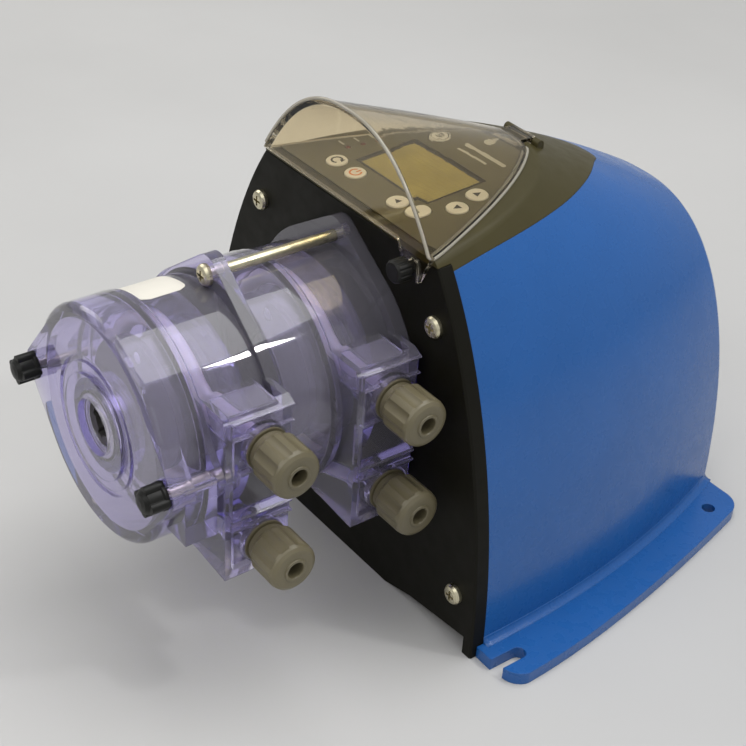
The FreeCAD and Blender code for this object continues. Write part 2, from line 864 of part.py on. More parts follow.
def panel_overlay():
    """A thin printed membrane with holes for the keys, the lights and the window."""
    thick = value("overlay_thick")
    start = value("overlay_start")
    end = value("overlay_end")
    sheet_solid = Part.Face(panel_outline(start, end)).extrude(Vector(0, 0, thick))
    half_width = value("window_width / 2 + 0.1")
    half_length = value("window_length / 2 + 0.1")
    middle = value("window_depth")
    cuts = [slab((-half_width, half_width), (middle - half_length, middle + half_length), (-1, 2))]
    for x, along in KEYS.values():
        cuts.append(Part.makeCylinder(value("key_radius + clear_gap"), 3, Vector(x, along, -1)))
    for x, along in LIGHTS:
        cuts.append(Part.makeCylinder(value("light_hole_radius"), 3, Vector(x, along, -1)))
    return panel_solid(sheet_solid.cut(cuts))


shaped("panel_overlay", panel_overlay())


def flat_box(name, width, length, thick):
    """A flat rectangular piece, centred across and along, standing up from height 0."""
    body = new_body(name)
    sketch = new_sketch(body, "XY_Plane", name + "_outline")
    outline(sketch, [
        (f"0 - ({width}) / 2", f"0 - ({length}) / 2"), (f"({width}) / 2", f"0 - ({length}) / 2"),
        (f"({width}) / 2", f"({length}) / 2"), (f"0 - ({width}) / 2", f"({length}) / 2"),
    ])
    padded(body, sketch, thick, name + "_pad")
    return body


window = flat_box("lcd_window", "window_width", "window_length", "overlay_thick")
finished(on_panel(window, "0", "window_depth", "0"), "lcd_window")

module = flat_box("lcd_module", "window_width - 2 * window_ledge - 1",
                  "window_length - 2 * window_ledge - 1", "lcd_drop - clear_gap")
finished(on_panel(module, "0", "window_depth", "0 - lcd_drop"), "lcd_module")

board = flat_box("control_board", "board_width", "board_length", "board_thick")
finished(on_panel(board, "0", "window_depth + 3", "0 - lcd_drop - board_thick"), "control_board")

members = []
for index, (x, along) in enumerate(LIGHTS):
    light = turned(f"status_light_{index}", [
        ("0", "0 - 8.9"), ("1.2", "0 - 8.9"), ("1.2", "0.6"), ("0.8", "1"), ("0", "1.1"),
    ])
    members.append(on_panel(light, f"0 + {x}", f"{along}", "0"))
group("status_lights", members)


def key(name):
    """A push key: a round cap in the panel, a skirt that holds it in, and a stem to its switch."""
    under = "0 - cap_wall - key_travel - 0.2"
    stem_end = "0 - lcd_drop + 0.6"
    return turned(name, [
        ("0", stem_end), ("key_stem", stem_end), ("key_stem", under + " - 1.2"),
        ("key_radius + key_skirt", under + " - 1.2"), ("key_radius + key_skirt", under),
        ("key_radius", under), ("key_radius", "overlay_thick + key_stand - 0.4"),
        ("key_radius - 0.4", "overlay_thick + key_stand"), ("0", "overlay_thick + key_stand"),
    ])


for name, (x, along) in KEYS.items():
    finished(on_panel(key(name), f"0 + {x}", f"{along}", "0"), name)


# ---------------------------------------------------------------- lid and its knob

def lid_arch(depth, side_inset, crown_inset, base_rise):
    """The lid's section at a depth: a steep-sided arch standing on the panel's plane."""
    half_width, crown = lid_size(depth)
    width = half_width - side_inset
    base = panel_height(depth) + base_rise
    rise = crown - crown_inset - base
    steps = 24
    points = []
    for step in range(steps + 1):
        share = math.cos(math.pi * step / steps)
        up = 1 - abs(share) ** value("lid_power") if 0 < step < steps else 0.0
        points.append(Vector(width * share, depth, base + rise * up))
    arch = Part.BSplineCurve()
    arch.interpolate(points)
    return Part.Wire([arch.toShape(), Part.LineSegment(points[-1], points[0]).toShape()])


def lid_loft(start, end, side_inset, crown_inset, base_rise):
    stations = 9
    sections = []
    for step in range(stations + 1):
        depth = start + (end - start) * step / stations
        sections.append(lid_arch(depth, side_inset, crown_inset, base_rise))
    return Part.makeLoft(sections, True, False)


def lid():
    """The clear lid: a bubble over the control panel with a locking tab and a hinge tongue."""
    gap = value("lid_gap")
    reach = value("lid_reach")
    wall = value("lid_wall")
    rear = value("lid_rear")
    form = lid_loft(-reach, rear, 0, 0, gap)
    hollow = lid_loft(wall - reach, rear - wall, value("lid_side_inset"), wall, gap - 0.5)
    lid_shell = form.cut(hollow)
    tab_x = value("tab_x")
    top = panel_height(0) + gap + 1
    top_half = value("tab_top_half")
    low_half = value("tab_low_half")
    low = value("tab_low_z")
    tab = prism([
        Vector(tab_x - top_half, -reach, top), Vector(tab_x + top_half, -reach, top),
        Vector(tab_x + low_half, -reach, low), Vector(tab_x - low_half, -reach, low),
    ], Vector(0, wall, 0))
    knob_z = value("knob_z")
    notch_radius = value("knob_stem_radius") + 0.7
    notch = drum(notch_radius, -reach - 1, wall, tab_x, knob_z).fuse(
        slab((tab_x - notch_radius, tab_x + notch_radius), (-reach - 1, wall), (low - 1, knob_z)))
    hinge = Vector(-value("hinge_half_width"), value("hinge_depth"), value("hinge_z"))
    barrel = Part.makeCylinder(value("hinge_radius"), 2 * value("hinge_half_width"), hinge, X_AXIS)
    tongue = side_view_block([
        (rear - 4, panel_height(rear - 4) + gap), (hinge.y - 1.6, panel_height(hinge.y) + gap),
        (hinge.y - 0.4, hinge.z + value("hinge_radius")), (rear - 1, panel_height(rear) + 2.6),
        (rear - 4, panel_height(rear) + 2.6),
    ]).common(slab((hinge.x, -hinge.x), (0, 120), (150, 220)))
    bore = Part.makeCylinder(value("hinge_pin_radius + running_gap"), 40,
                             Vector(-20, hinge.y, hinge.z), X_AXIS)
    return joined([lid_shell, tab.cut(notch), barrel, tongue]).cut(bore)


shaped("lid", lid())

pin = turned("hinge_pin", [
    ("0", "0"), ("hinge_pin_radius", "0"),
    ("hinge_pin_radius", "2 * (hinge_half_width + knuckle_width + clear_gap)"),
    ("0", "2 * (hinge_half_width + knuckle_width + clear_gap)"),
])
finished(put(pin, "0 - hinge_half_width - knuckle_width - clear_gap", "hinge_depth", "hinge_z",
             SIDEWAYS), "hinge_pin")


def lid_knob():
    """A small knurled knob that screws into the faceplate and holds the lid's tab."""
    body = turned("lid_knob", [
        ("0", "0 - knob_start - faceplate_thick"),
        ("knob_stem_radius", "0 - knob_start - faceplate_thick"), ("knob_stem_radius", "0"),
        ("knob_radius", "0"), ("knob_radius", "knob_length - 1"),
        ("knob_radius - 1", "knob_length"), ("0", "knob_length"),
    ])
    sketch = new_sketch(body, "XY_Plane", "flutes")
    ring(sketch, "0.7", "knob_radius + 0.3", "0")
    flute = pocketed(body, sketch, "knob_length + 1", True, "flute")
    repeated(body, flute, "12")
    return body


finished(put(lid_knob(), "tab_x", "0 - knob_start", "knob_z", FORWARD), "lid_knob")


# ---------------------------------------------------------------- drive

def drive_plate():
    """The steel plate that carries the gear motor behind the faceplate."""
    half = value("drive_plate_size") / 2
    middle = value("shaft_z")
    start = value("faceplate_thick")
    end = start + value("drive_plate_thick")
    plate = slab((-half, half), (start, end), (middle - half, middle + half))
    holes = [drum(value("shaft_hole_radius"), start - 1, end + 1)]
    for side in (-1, 1):
        lug = middle + side * value("lug_height")
        holes.append(drum(value("screw_radius") + 1.6, start - 1, end + 1, 0, lug))
    for x, z in drive_plate_screws():
        holes.append(drum(value("plate_screw_hole"), start - 1, end + 1, x, z))
    return plate.cut(holes)


shaped("drive_plate", drive_plate())

members = []
for index, (x, z) in enumerate(drive_plate_screws()):
    shank = "plate_screw_hole - 0.1"
    reach = "faceplate_thick + 0.5"
    screw = turned(f"plate_screw_{index}", [
        ("0", "0 - 3"), ("3.6", "0 - 3"), ("4", "0 - 2.4"), ("4", "0"), (shank, "0"),
        (shank, reach), ("0", reach),
    ])
    depth = "faceplate_thick + drive_plate_thick"
    members.append(put(screw, f"0 + {x:.3f}", depth, f"0 + {z:.3f}", FORWARD))
group("plate_screws", members)


def gearbox_case():
    """The gearbox: a finned block with a hollow output bore that the drive shaft turns in."""
    start = value("faceplate_thick + drive_plate_thick")
    half = value("gearbox_width") / 2
    middle = value("shaft_z")
    high = value("gearbox_height") / 2
    end = start + value("gearbox_length")
    rise = value("motor_rise")
    case = slab((-half, half), (start, end), (middle + rise - high, middle + rise + high))
    upright = [
        edge for edge in case.Edges
        if abs(edge.BoundBox.YLength - (end - start)) < 0.01
    ]
    case = case.makeFillet(5, upright)
    grooves = []
    for side in (-1, 1):
        sides = sorted((side * (half - value("fin_depth")), side * (half + 1)))
        for index in range(int(value("fin_count"))):
            depth = start + value("fin_pitch") * (index + 1)
            depths = (depth, depth + value("fin_width"))
            grooves.append(slab(sides, depths, (middle - 20, middle + 34)))
    bore = drum(value("shaft_radius + running_gap"), start - 1, value("shaft_inner_end") + 0.5)
    mouth = drum(value("shaft_hole_radius") + 0.8, start - 1, start + 6)
    screw_ends = []
    for side in (-1, 1):
        screw_ends.append(drum(6.5, start - 1, start + 8, 0, middle + side * value("lug_height")))
    return case.cut(grooves + screw_ends + [bore, mouth])


shaped("gearbox_case", gearbox_case())

motor = turned("motor", [
    ("0", "0 - motor_length"), ("8", "0 - motor_length"), ("8", "3 - motor_length"),
    ("motor_radius - 3", "3 - motor_length"), ("motor_radius", "6 - motor_length"),
    ("motor_radius", "0 - 6"), ("motor_radius - 1.5", "0 - 5"), ("motor_radius - 1.5", "0 - 3"),
    ("motor_radius", "0 - 2"), ("motor_radius", "0"), ("0", "0"),
])
finished(put(motor, "0", "faceplate_thick + drive_plate_thick + gearbox_length",
             "shaft_z + motor_rise", FORWARD), "motor")

bearing_end = "faceplate_thick / 2"
bearing_profile = [
    ("shaft_radius + running_gap", "0 - " + bearing_end),
    ("shaft_hole_radius", "0 - " + bearing_end), ("shaft_hole_radius", bearing_end),
    ("shaft_hole_radius - 1.4", bearing_end), ("shaft_hole_radius - 1.8", bearing_end + " - 0.5"),
    ("shaft_radius + 2.4", bearing_end + " - 0.5"), ("shaft_radius + 2", bearing_end),
    ("shaft_radius + running_gap", bearing_end),
]
finished(put(turned("plate_bearing", bearing_profile), "0", bearing_end, "shaft_z", FORWARD),
         "plate_bearing")


def drive_shaft():
    """The shaft through both heads, with a flat that keys the rotors to it."""
    shaft = drum(value("shaft_radius"), -value("shaft_outer_end"), value("shaft_inner_end"))
    flat_z = value("shaft_z + shaft_radius - flat_depth")
    flats = []
    for ahead in HEADS.values():
        base = -value(ahead)
        flats.append(slab((-6, 6), (base - 37, base - 18), (flat_z, flat_z + 3)))
    return shaft.cut(flats)


shaped("drive_shaft", drive_shaft())

# ---------------------------------------------------------------- tubes


def rounded_route(points, radii):
    """Straight runs joined by tangent arcs, one radius for each inner point."""
    edges = []
    here = points[0]
    for index, radius in enumerate(radii, start=1):
        corner = points[index]
        to_start = (points[index - 1] - corner).normalize()
        to_end = (points[index + 1] - corner).normalize()
        half_angle = to_start.getAngle(to_end) / 2
        reach = radius / math.tan(half_angle)
        arc_start = corner + to_start * reach
        arc_end = corner + to_end * reach
        bisector = (to_start + to_end).normalize()
        middle = corner + bisector * (radius / math.sin(half_angle) - radius)
        edges.append(Part.LineSegment(here, arc_start).toShape())
        edges.append(Part.Arc(arc_start, middle, arc_end).toShape())
        here = arc_end
    edges.append(Part.LineSegment(here, points[-1]).toShape())
    return edges


def tube_route(ahead):
    """From the upper port, round the rotor over the far side, to the lower port."""
    plane = -ahead - value("tube_plane")
    port_plane = -ahead - value("port_depth")
    middle = value("shaft_z")
    wrap = value("tube_wrap_radius")
    port_x = value("tube_port_x")
    port_end = value("tube_end_x")
    upper = value("upper_port_z")
    lower = value("lower_port_z")
    reach = math.hypot(port_x, upper - middle)
    leave = math.atan2(upper - middle, port_x) + math.acos(wrap / reach)
    top = Vector(wrap * math.cos(leave), plane, middle + wrap * math.sin(leave))
    away = Vector(math.sin(leave), 0, -math.cos(leave))
    bend_out = top + away * 7
    far_side = Vector(-wrap, plane, middle)
    bottom = Vector(0, plane, middle - wrap)
    bend_in = Vector(22, plane, middle - wrap)
    edges = rounded_route([
        Vector(port_end, port_plane, upper), Vector(port_x, port_plane, upper), bend_out, top,
    ], [14, 16])
    edges.append(Part.Arc(top, far_side, bottom).toShape())
    edges += rounded_route([
        bottom, bend_in, Vector(port_x, port_plane, lower),
        Vector(port_end, port_plane, lower),
    ], [24, 14])
    return edges


def tube_solid(ahead, radius):
    """A round bar along the tube's route."""
    edges = tube_route(ahead)
    start = edges[0].Vertexes[0].Point
    section = Part.Wire([Part.Circle(start, X_AXIS, radius).toShape()])
    return Part.Wire(edges).makePipeShell([section], True, False)


def pump_tube(ahead):
    return tube_solid(ahead, value("tube_radius")).cut(tube_solid(ahead, value("tube_bore")))


for head, ahead in HEADS.items():
    shaped(head + "_tube", pump_tube(value(ahead)))


# ---------------------------------------------------------------- pump heads

def tangent_plate(radius, lug_radius, lug_reach, sideways, start, end):
    """A round plate with two opposite lugs that run off it along tangents."""
    parts = [drum(radius, start, end)]
    middle = value("shaft_z")
    lean = math.acos((radius - lug_radius) / lug_reach)
    for side in (-1, 1):
        centre = Vector(side * lug_reach, 0, 0) if sideways else Vector(0, 0, side * lug_reach)
        towards = Vector(centre).normalize()
        across = Vector(-towards.z, 0, towards.x)
        parts.append(drum(lug_radius, start, end, centre.x, middle + centre.z))
        corners = []
        for hand, disc in ((1, 0), (1, 1), (-1, 1), (-1, 0)):
            size = lug_radius if disc else radius
            origin = centre if disc else Vector()
            spoke = towards * math.cos(lean) + across * (hand * math.sin(lean))
            corners.append(origin + spoke * size + Vector(0, start, middle))
        parts.append(prism(corners, Vector(0, end - start, 0)))
    return joined(parts)


def port_block(base):
    """The block beside a head that holds its two port connectors."""
    near = base - value("block_near")
    far = base - value("block_far")
    inner = value("block_inner_x")
    face = value("port_face_x")
    top = value("block_top")
    bottom = value("block_bottom")
    upper = value("upper_port_z")
    lower = value("lower_port_z")
    chamfer = 5
    upper_part = prism([
        Vector(inner - 3, near, upper - 9), Vector(face, near, upper - 9),
        Vector(face, near, top - 2.5), Vector(face - chamfer, near, top),
        Vector(inner - 3, near, top),
    ], Vector(0, far - near, 0))
    lower_part = prism([
        Vector(8, near, lower + 12), Vector(8, near, bottom + 3.5),
        Vector(inner, near, bottom + 2.5), Vector(face, near, bottom),
        Vector(face, near, lower + 15), Vector(face - 3, near, lower + 17),
        Vector(inner, near, lower + 17),
    ], Vector(0, far - near, 0))
    wall = slab((inner, face), (near, near + 3.5), (bottom + 2, top - 2))
    web = slab((inner, face - 4), (near + 3, far), (lower + 10, upper - 5))
    cuts = []
    for ceiling, floor in ((top - 3, top - 10), (lower + 14.5, lower + 10.5)):
        cuts.append(slab((face - 2, face + 1), (near + 3, far + 1), (floor, ceiling)))
    cuts.append(slab((face - 2.5, face + 1), (near + 4, far + 1), (upper - 8.5, upper + 8)))
    cuts.append(slab((face - 2.5, face + 1), (near + 4, far + 1), (lower - 9, lower + 9.5)))
    cuts.append(slab((inner + 4, face - 5), (near + 4, far - 3), (top - 12, top + 1)))
    roof = slab((inner - 8, face - 2), (near, near + 25), (top - 2.2, top))
    ports = []
    for name in PORTS.values():
        ports.append(Part.makeCylinder(10.4, 12, Vector(face - 12, base - value("port_depth"),
                                                         value(name)), X_AXIS))
    block = joined([upper_part, lower_part, wall, web]).cut(cuts)
    return joined([block, roof] + ports)


def lug_holes(start, end):
    """Holes for the two long screws above and below the shaft."""
    radius = value("screw_radius") + 0.2
    reach = value("lug_height")
    return [drum(radius, start, end, 0, value("shaft_z") + side * reach) for side in (-1, 1)]


def stud_holes(start, end, gap=0.0):
    radius = value("stud_radius") + gap
    return [drum(radius, start, end, side * value("stud_x")) for side in (-1, 1)]


def head_body(head, ahead):
    """A clear head body: back flange, raceway wall and the port block, with the tube's way cut."""
    base = -ahead
    flange_end = base - value("head_flange_thick")
    wall_end = base - value("head_wall_end")
    radius = value("head_flange_radius") + (2 if head == "rear" else 0)
    flange = tangent_plate(radius, value("lug_radius"), value("lug_height"), False,
                           flange_end, base)
    wall = drum(value("head_radius"), wall_end, flange_end)
    lip = drum(value("head_radius") + 1.2, wall_end, wall_end + 3)
    pieces = [flange, wall, lip, port_block(base)]
    stud_root = -value("stud_root")
    if head == "front":
        pieces.append(tangent_plate(value("head_radius") - 1, value("ear_radius"), value("stud_x"),
                                    True, wall_end, stud_root + 2))
    body = joined(pieces)
    track = drum(value("track_radius"), wall_end - 1, flange_end - 8)
    relief = drum(33, flange_end - 9, flange_end - 3)
    bore = drum(13.2, flange_end - 4, base + 1)
    step = drum(value("head_radius") - 4, wall_end - 1, wall_end + 3)
    tube_way = tube_solid(ahead, value("tube_radius") + 0.5)
    sockets = []
    for name in PORTS.values():
        sockets.append(connector_envelope(value(name), base - value("port_depth")))
    cuts = [track, relief, bore, step, tube_way] + sockets + lug_holes(base - 60, base + 1)
    if head == "front":
        cuts += stud_holes(wall_end - 1, stud_root)
    return body.cut(cuts)


def connector_envelope(port_z, port_plane):
    """The stepped hole that a port connector sits in."""
    face = value("port_face_x")
    hole = Part.makeCylinder(7.4, 7, Vector(face - 6, port_plane, port_z), X_AXIS)
    return hole.fuse(Part.makeCylinder(5.2, 9, Vector(face - 14, port_plane, port_z), X_AXIS))


def head_cover(head, ahead):
    """The clear cover over a head's open front: rim and bearing boss, and the front one's ears."""
    base = -ahead
    back = base - value("head_wall_end")
    front = base - value(head + "_cover_end")
    outer = value("cover_radius")
    inner = value("cover_inner_radius")
    round_size = value("cover_round")
    disc = drum(outer, front, back)
    rim = [edge for edge in disc.Edges if edge.BoundBox.YMax < front + 0.01]
    if head == "front":
        disc = disc.makeFillet(round_size, rim)
    face_wall = front + value("cover_front_wall")
    cavity = drum(inner, face_wall, back + 1)
    cover = disc.cut(cavity)
    boss_end = back - 7
    pieces = [cover, drum(value("boss_outer") - 3, front, boss_end)]
    if head == "front":
        ears = tangent_plate(outer - 3, value("ear_radius"), value("stud_x"), True,
                             front, front + 10)
        pieces.append(ears.cut(cavity))
        pieces.append(drum(value("boss_outer"), front - value("boss_stand"), front + 1))
        pieces.append(slab((37, 59.6), (base - 52.7, back - 0.4), (84, 110.7))
                      .cut(drum(inner, back - 20, back + 1)))
    cover = joined(pieces)
    pocket_end = front + value("bearing_recess") + value("bearing_length")
    if head == "rear":
        cuts = [drum(value("bearing_radius"), pocket_end - 8, boss_end + 1),
                drum(13, front - 3, boss_end)]
    else:
        cuts = [drum(value("bearing_radius"), front + value("bearing_recess"), boss_end + 1),
                drum(value("boss_mouth"), front - 3, boss_end),
                drum(30, front - 1, front + 1.2).cut(drum(27.6, front - 2, front + 2))]
        cuts += stud_holes(front - 1, back + 2, 0.3)
    return cover.cut(cuts + lug_holes(front - 1, back + 2))


for head, ahead in HEADS.items():
    shaped(head + "_head_body", head_body(head, value(ahead)))
    shaped(head + "_head_cover", head_cover(head, value(ahead)))


def head_bearing(name, bore):
    """A sealed ball bearing: bright inner and outer rings and a shield between."""
    half = "bearing_length / 2"
    return turned(name, [
        (bore, "0 - " + half), ("bearing_radius", "0 - " + half), ("bearing_radius", half),
        ("bearing_radius - 1.2", half), ("bearing_radius - 1.5", half + " - 0.6"),
        (bore + " + 1.5", half + " - 0.6"), (bore + " + 1.3", half), (bore, half),
    ])


bearing = head_bearing("front_bearing", "bearing_inner + running_gap")
finished(put(bearing, "0", "bearing_recess + bearing_length / 2 - head_pitch - front_cover_end",
             "shaft_z", FORWARD), "front_bearing")
bearing = head_bearing("middle_bearing", "shaft_radius + running_gap")
finished(put(bearing, "0", "bearing_recess + bearing_length / 2 - rear_cover_end",
             "shaft_z", FORWARD), "middle_bearing")

# ---------------------------------------------------------------- screws and studs

members = []
for side, sign in (("upper", " + "), ("lower", " - ")):
    screw = pan_screw("head_screw_" + side, "head_pitch + head_flange_thick + 6")
    members.append(put(screw, "0", "0 - head_pitch - head_flange_thick",
                       "shaft_z" + sign + "lug_height", FORWARD))
group("head_screws", members)

members = []
for side, sign in (("left", "0 - "), ("right", "0 + ")):
    stud = turned("head_stud_" + side, [
        ("0", "stud_root"), ("stud_radius", "stud_root"), ("stud_radius", "stud_end - 1"),
        ("stud_radius - 0.8", "stud_end"), ("0", "stud_end"),
    ])
    members.append(put(stud, sign + "stud_x", "0", "shaft_z", FORWARD))
group("head_studs", members)


def thumb_nut(name):
    """A black moulded nut with four lobes and a domed end; blind, so the stud ends inside it."""
    hole = "stud_radius + running_gap"
    depth = "thumb_length - 3.5"
    body = turned(name, [
        (hole, "0"), ("thumb_radius + 0.8", "0"), ("thumb_radius + 0.8", "1.4"),
        ("thumb_radius", "2"), ("thumb_radius", "thumb_length - 2.2"),
        ("thumb_radius * 0.72", "thumb_length - 0.5"), ("thumb_radius * 0.3", "thumb_length"),
        ("0", "thumb_length"), ("0", depth), (hole, depth),
    ])
    sketch = new_sketch(body, "XY_Plane", name + "_lobe")
    ring(sketch, "thumb_lobe", "thumb_radius - 0.3", "0")
    lobe = padded(body, sketch, "thumb_length - 1.8", name + "_pad")
    repeated(body, lobe, "4")
    return body


for side, sign in (("left", "0 - "), ("right", "0 + ")):
    name = side + "_thumb_nut"
    seat = "0 - head_pitch - front_cover_end - clear_gap"
    finished(put(thumb_nut(name), sign + "stud_x", seat, "shaft_z", FORWARD), name)


# ---------------------------------------------------------------- port connectors and nuts

def connector(name):
    """A moulded connector: a seat in the block, a threaded neck and a barb for the pump tube."""
    seat = "0"
    return turned(name, [
        ("passage_radius", "0 - 10"), ("passage_radius + 0.6", "0 - 10"),
        ("passage_radius + 1", "0 - 8"), ("passage_radius + 0.5", "0 - 8"),
        ("passage_radius + 0.5", "0 - 5.6"), ("7.2", "0 - 5.6"),
        ("7.2", seat), ("neck_radius + 1.5", seat), ("neck_radius + 1.5", "1"),
        ("neck_radius - 0.9", "1"), ("neck_radius - 0.9", "2.6"), ("neck_radius", "3.2"),
        ("neck_radius", "neck_length - 0.8"), ("neck_radius - 0.8", "neck_length"),
        ("passage_radius + 0.6", "neck_length"), ("passage_radius", "neck_length - 0.6"),
    ])


def compression_nut(name):
    """The grey nut over a port: fluted outside, open for the neck behind and a tube in front."""
    inner = "neck_radius + clear_gap"
    back = "1.6"
    body = turned(name, [
        (inner, back), ("nut_radius - 2.1", back), ("nut_radius - 2.1", "4.2"),
        ("nut_radius - 0.9", "5.2"), ("nut_radius", "6.4"), ("nut_radius", "nut_length - 3"),
        ("nut_radius - 0.6", "nut_length - 1.4"), ("nut_radius - 2", "nut_length - 0.4"),
        ("nut_radius - 3.2", "nut_length - 0.2"), ("nut_hole_radius + 1.5", "nut_length - 0.2"),
        ("nut_hole_radius + 1.3", "nut_length + 0.4"), ("nut_hole_radius + 0.3", "nut_length + 0.4"),
        ("nut_hole_radius", "nut_length"), ("nut_hole_radius", "nut_length - nut_front_wall"),
        (inner, "nut_length - nut_front_wall - 1.2"),
    ])
    sketch = new_sketch(body, "XY_Plane", name + "_flute")
    sketch.AttachmentOffset = Placement(Vector(0, 0, 5.5), Rotation())
    ring(sketch, "nut_flute_radius", "nut_radius + nut_flute_radius - nut_flute_depth", "0")
    flute = pocketed(body, sketch, "nut_length - 8", True, name + "_cut")
    repeated(body, flute, "nut_flutes")
    return body


for head, ahead in HEADS.items():
    for port, height in PORTS.items():
        depth = f"0 - {ahead} - port_depth"
        name = f"{head}_{port}_connector"
        finished(put(connector(name), "port_face_x", depth, height, SIDEWAYS), name)
        name = f"{head}_{port}_nut"
        finished(put(compression_nut(name), "port_face_x", depth, height, SIDEWAYS), name)


# ---------------------------------------------------------------- rotors

def rotor(head, ahead):
    """A head's rotor: two discs on a hub, with the rollers between them."""
    middle = value("shaft_z")
    thick = value("carrier_thick")
    orbit = value("roller_orbit")
    back = -ahead - value("roller_start")
    front = back - value("roller_length") - 2 * value("clear_gap")
    parts = []
    for start, end in ((back, back + thick), (front - thick, front)):
        parts.append(drum(orbit + value("carrier_rim"), start, end))
    parts.append(drum(value("carrier_hub"), front - thick, back + thick))
    if head == "front":
        nose_end = -ahead - value("front_cover_end - bearing_recess - 0.4")
        parts.append(drum(value("bearing_inner"), nose_end, front))
    solid = joined(parts)
    cuts = []
    for side in (-1, 1):
        pin = value("roller_pin_radius")
        cuts.append(drum(pin, front - thick - 1, back + thick + 1, 0, middle + side * orbit))
    bore_start = front - thick - 1 if head == "rear" else -value("shaft_outer_end")
    bore = drum(value("shaft_radius"), bore_start, back + thick + 1)
    if head == "front":
        recess_depth = 6
        for turn in (0, 90):
            slot = slab((-7.5, 7.5), (nose_end - 1, nose_end + recess_depth), (-1.8, 1.8))
            slot.rotate(Vector(), Y_AXIS, turn + 20)
            slot.translate(Vector(0, 0, middle))
            cuts.append(slot)
        cuts.append(drum(5.5, nose_end - 1, nose_end + 2))
    return solid.cut(cuts + [bore])


def roller(name):
    half = "roller_length / 2"
    return turned(name, [
        ("roller_pin_radius + running_gap", "0 - " + half), ("roller_radius - 1", "0 - " + half),
        ("roller_radius", "1 - " + half), ("roller_radius", half + " - 1"),
        ("roller_radius - 1", half), ("roller_pin_radius + running_gap", half),
    ])


members = []
for head, ahead in HEADS.items():
    shaped(head + "_rotor", rotor(head, value(ahead)))
    for side, sign in (("upper", " + "), ("lower", " - ")):
        name = f"{head}_roller_{side}"
        depth = f"0 - {ahead} - roller_start - clear_gap - roller_length / 2"
        height = "shaft_z" + sign + "roller_orbit"
        finished(put(roller(name), "0", depth, height, FORWARD), name)
        half = "(roller_length / 2 + carrier_thick + clear_gap)"
        pin = turned(name + "_pin", [
            ("0", "0 - " + half), ("roller_pin_radius", "0 - " + half),
            ("roller_pin_radius", half), ("0", half),
        ])
        members.append(put(pin, "0", depth, height, FORWARD))
group("roller_pins", members)


# ---------------------------------------------------------------- label and cable gland

def blank_label():
    """A blank label on the front head, bent to the head's round wall."""
    radius = value("head_radius")
    start = value("label_margin - head_pitch - head_wall_end")
    length = value("label_length")
    ring_solid = drum(radius + value("label_thick"), start, start + length)
    ring_solid = ring_solid.cut(drum(radius, start - 1, start + length + 1))
    middle = value("shaft_z")
    wedge = prism([
        Vector(0, start - 1, middle), Vector(-70, start - 1, middle + 50),
        Vector(-60, start - 1, middle + 90), Vector(-4, start - 1, middle + 90),
    ], Vector(0, length + 2, 0))
    return ring_solid.common(wedge)


shaped("head_label", blank_label())

gland = turned("cable_gland", [
    ("3.4", "0 - 14"), ("4.6", "0 - 14"), ("7", "0 - 11"), ("8.4", "0 - 9"), ("8.4", "0 - 1"),
    ("9.6", "0 - 1"), ("9.6", "0"), ("gland_thread_radius", "0"), ("gland_thread_radius", "8"),
    ("3.4", "8"),
])
finished(put(gland, "0 - gland_x", "shell_depth + running_gap", "gland_z", FORWARD),
         "cable_gland")

# ---------------------------------------------------------------- check and write

doc.recompute()
for item in doc.Objects:
    if "Invalid" in item.State or "Error" in item.State:
        raise RuntimeError(f"{item.Label} failed: {item.State}")
for item in subparts:
    if item.Shape.isNull() or not item.Shape.isValid():
        raise RuntimeError(f"{item.Label} has no valid shape")

os.makedirs("parts", exist_ok=True)
for item in subparts:
    item.Shape.exportStep(f"parts/{item.Label}.step")
print(f"{len(subparts)} sub-parts written")
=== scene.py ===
import json
import math

import bmesh
import bpy
from mathutils import Matrix, Vector


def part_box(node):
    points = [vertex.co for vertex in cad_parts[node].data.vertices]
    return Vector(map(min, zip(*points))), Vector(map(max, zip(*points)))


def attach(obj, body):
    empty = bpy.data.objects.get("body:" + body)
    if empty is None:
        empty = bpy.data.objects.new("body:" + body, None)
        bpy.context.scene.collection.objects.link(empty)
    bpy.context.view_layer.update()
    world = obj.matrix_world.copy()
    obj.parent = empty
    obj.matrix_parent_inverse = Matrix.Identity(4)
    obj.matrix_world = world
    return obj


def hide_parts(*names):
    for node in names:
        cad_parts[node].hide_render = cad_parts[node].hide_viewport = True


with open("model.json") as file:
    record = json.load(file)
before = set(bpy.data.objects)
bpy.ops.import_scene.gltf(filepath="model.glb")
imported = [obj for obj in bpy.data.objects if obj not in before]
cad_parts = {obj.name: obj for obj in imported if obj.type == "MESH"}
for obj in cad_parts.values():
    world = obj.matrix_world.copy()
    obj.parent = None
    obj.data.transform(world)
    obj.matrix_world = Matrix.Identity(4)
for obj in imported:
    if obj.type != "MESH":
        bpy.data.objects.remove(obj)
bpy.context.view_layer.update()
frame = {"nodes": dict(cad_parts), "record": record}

# Peristaltic metering pump: looks, camera and light around the CAD frame.
# Metres, in the frame's own axes: +Y runs from the pump heads to the back of the housing.

MM = 0.001
record = frame["record"]
SLOT_OF = {part["node"]: part["material_slot"] for part in record["subparts"]}
FLANGE_TOP = 6.0 * MM           # height of the foot flange's upper face
SHARP = 0.6                     # radians: a bend that counts as a sharp edge
SHORTEST_BEAD = 0.06            # metres: shorter runs along the lid get no bead


# ---------------------------------------------------------------- material helpers

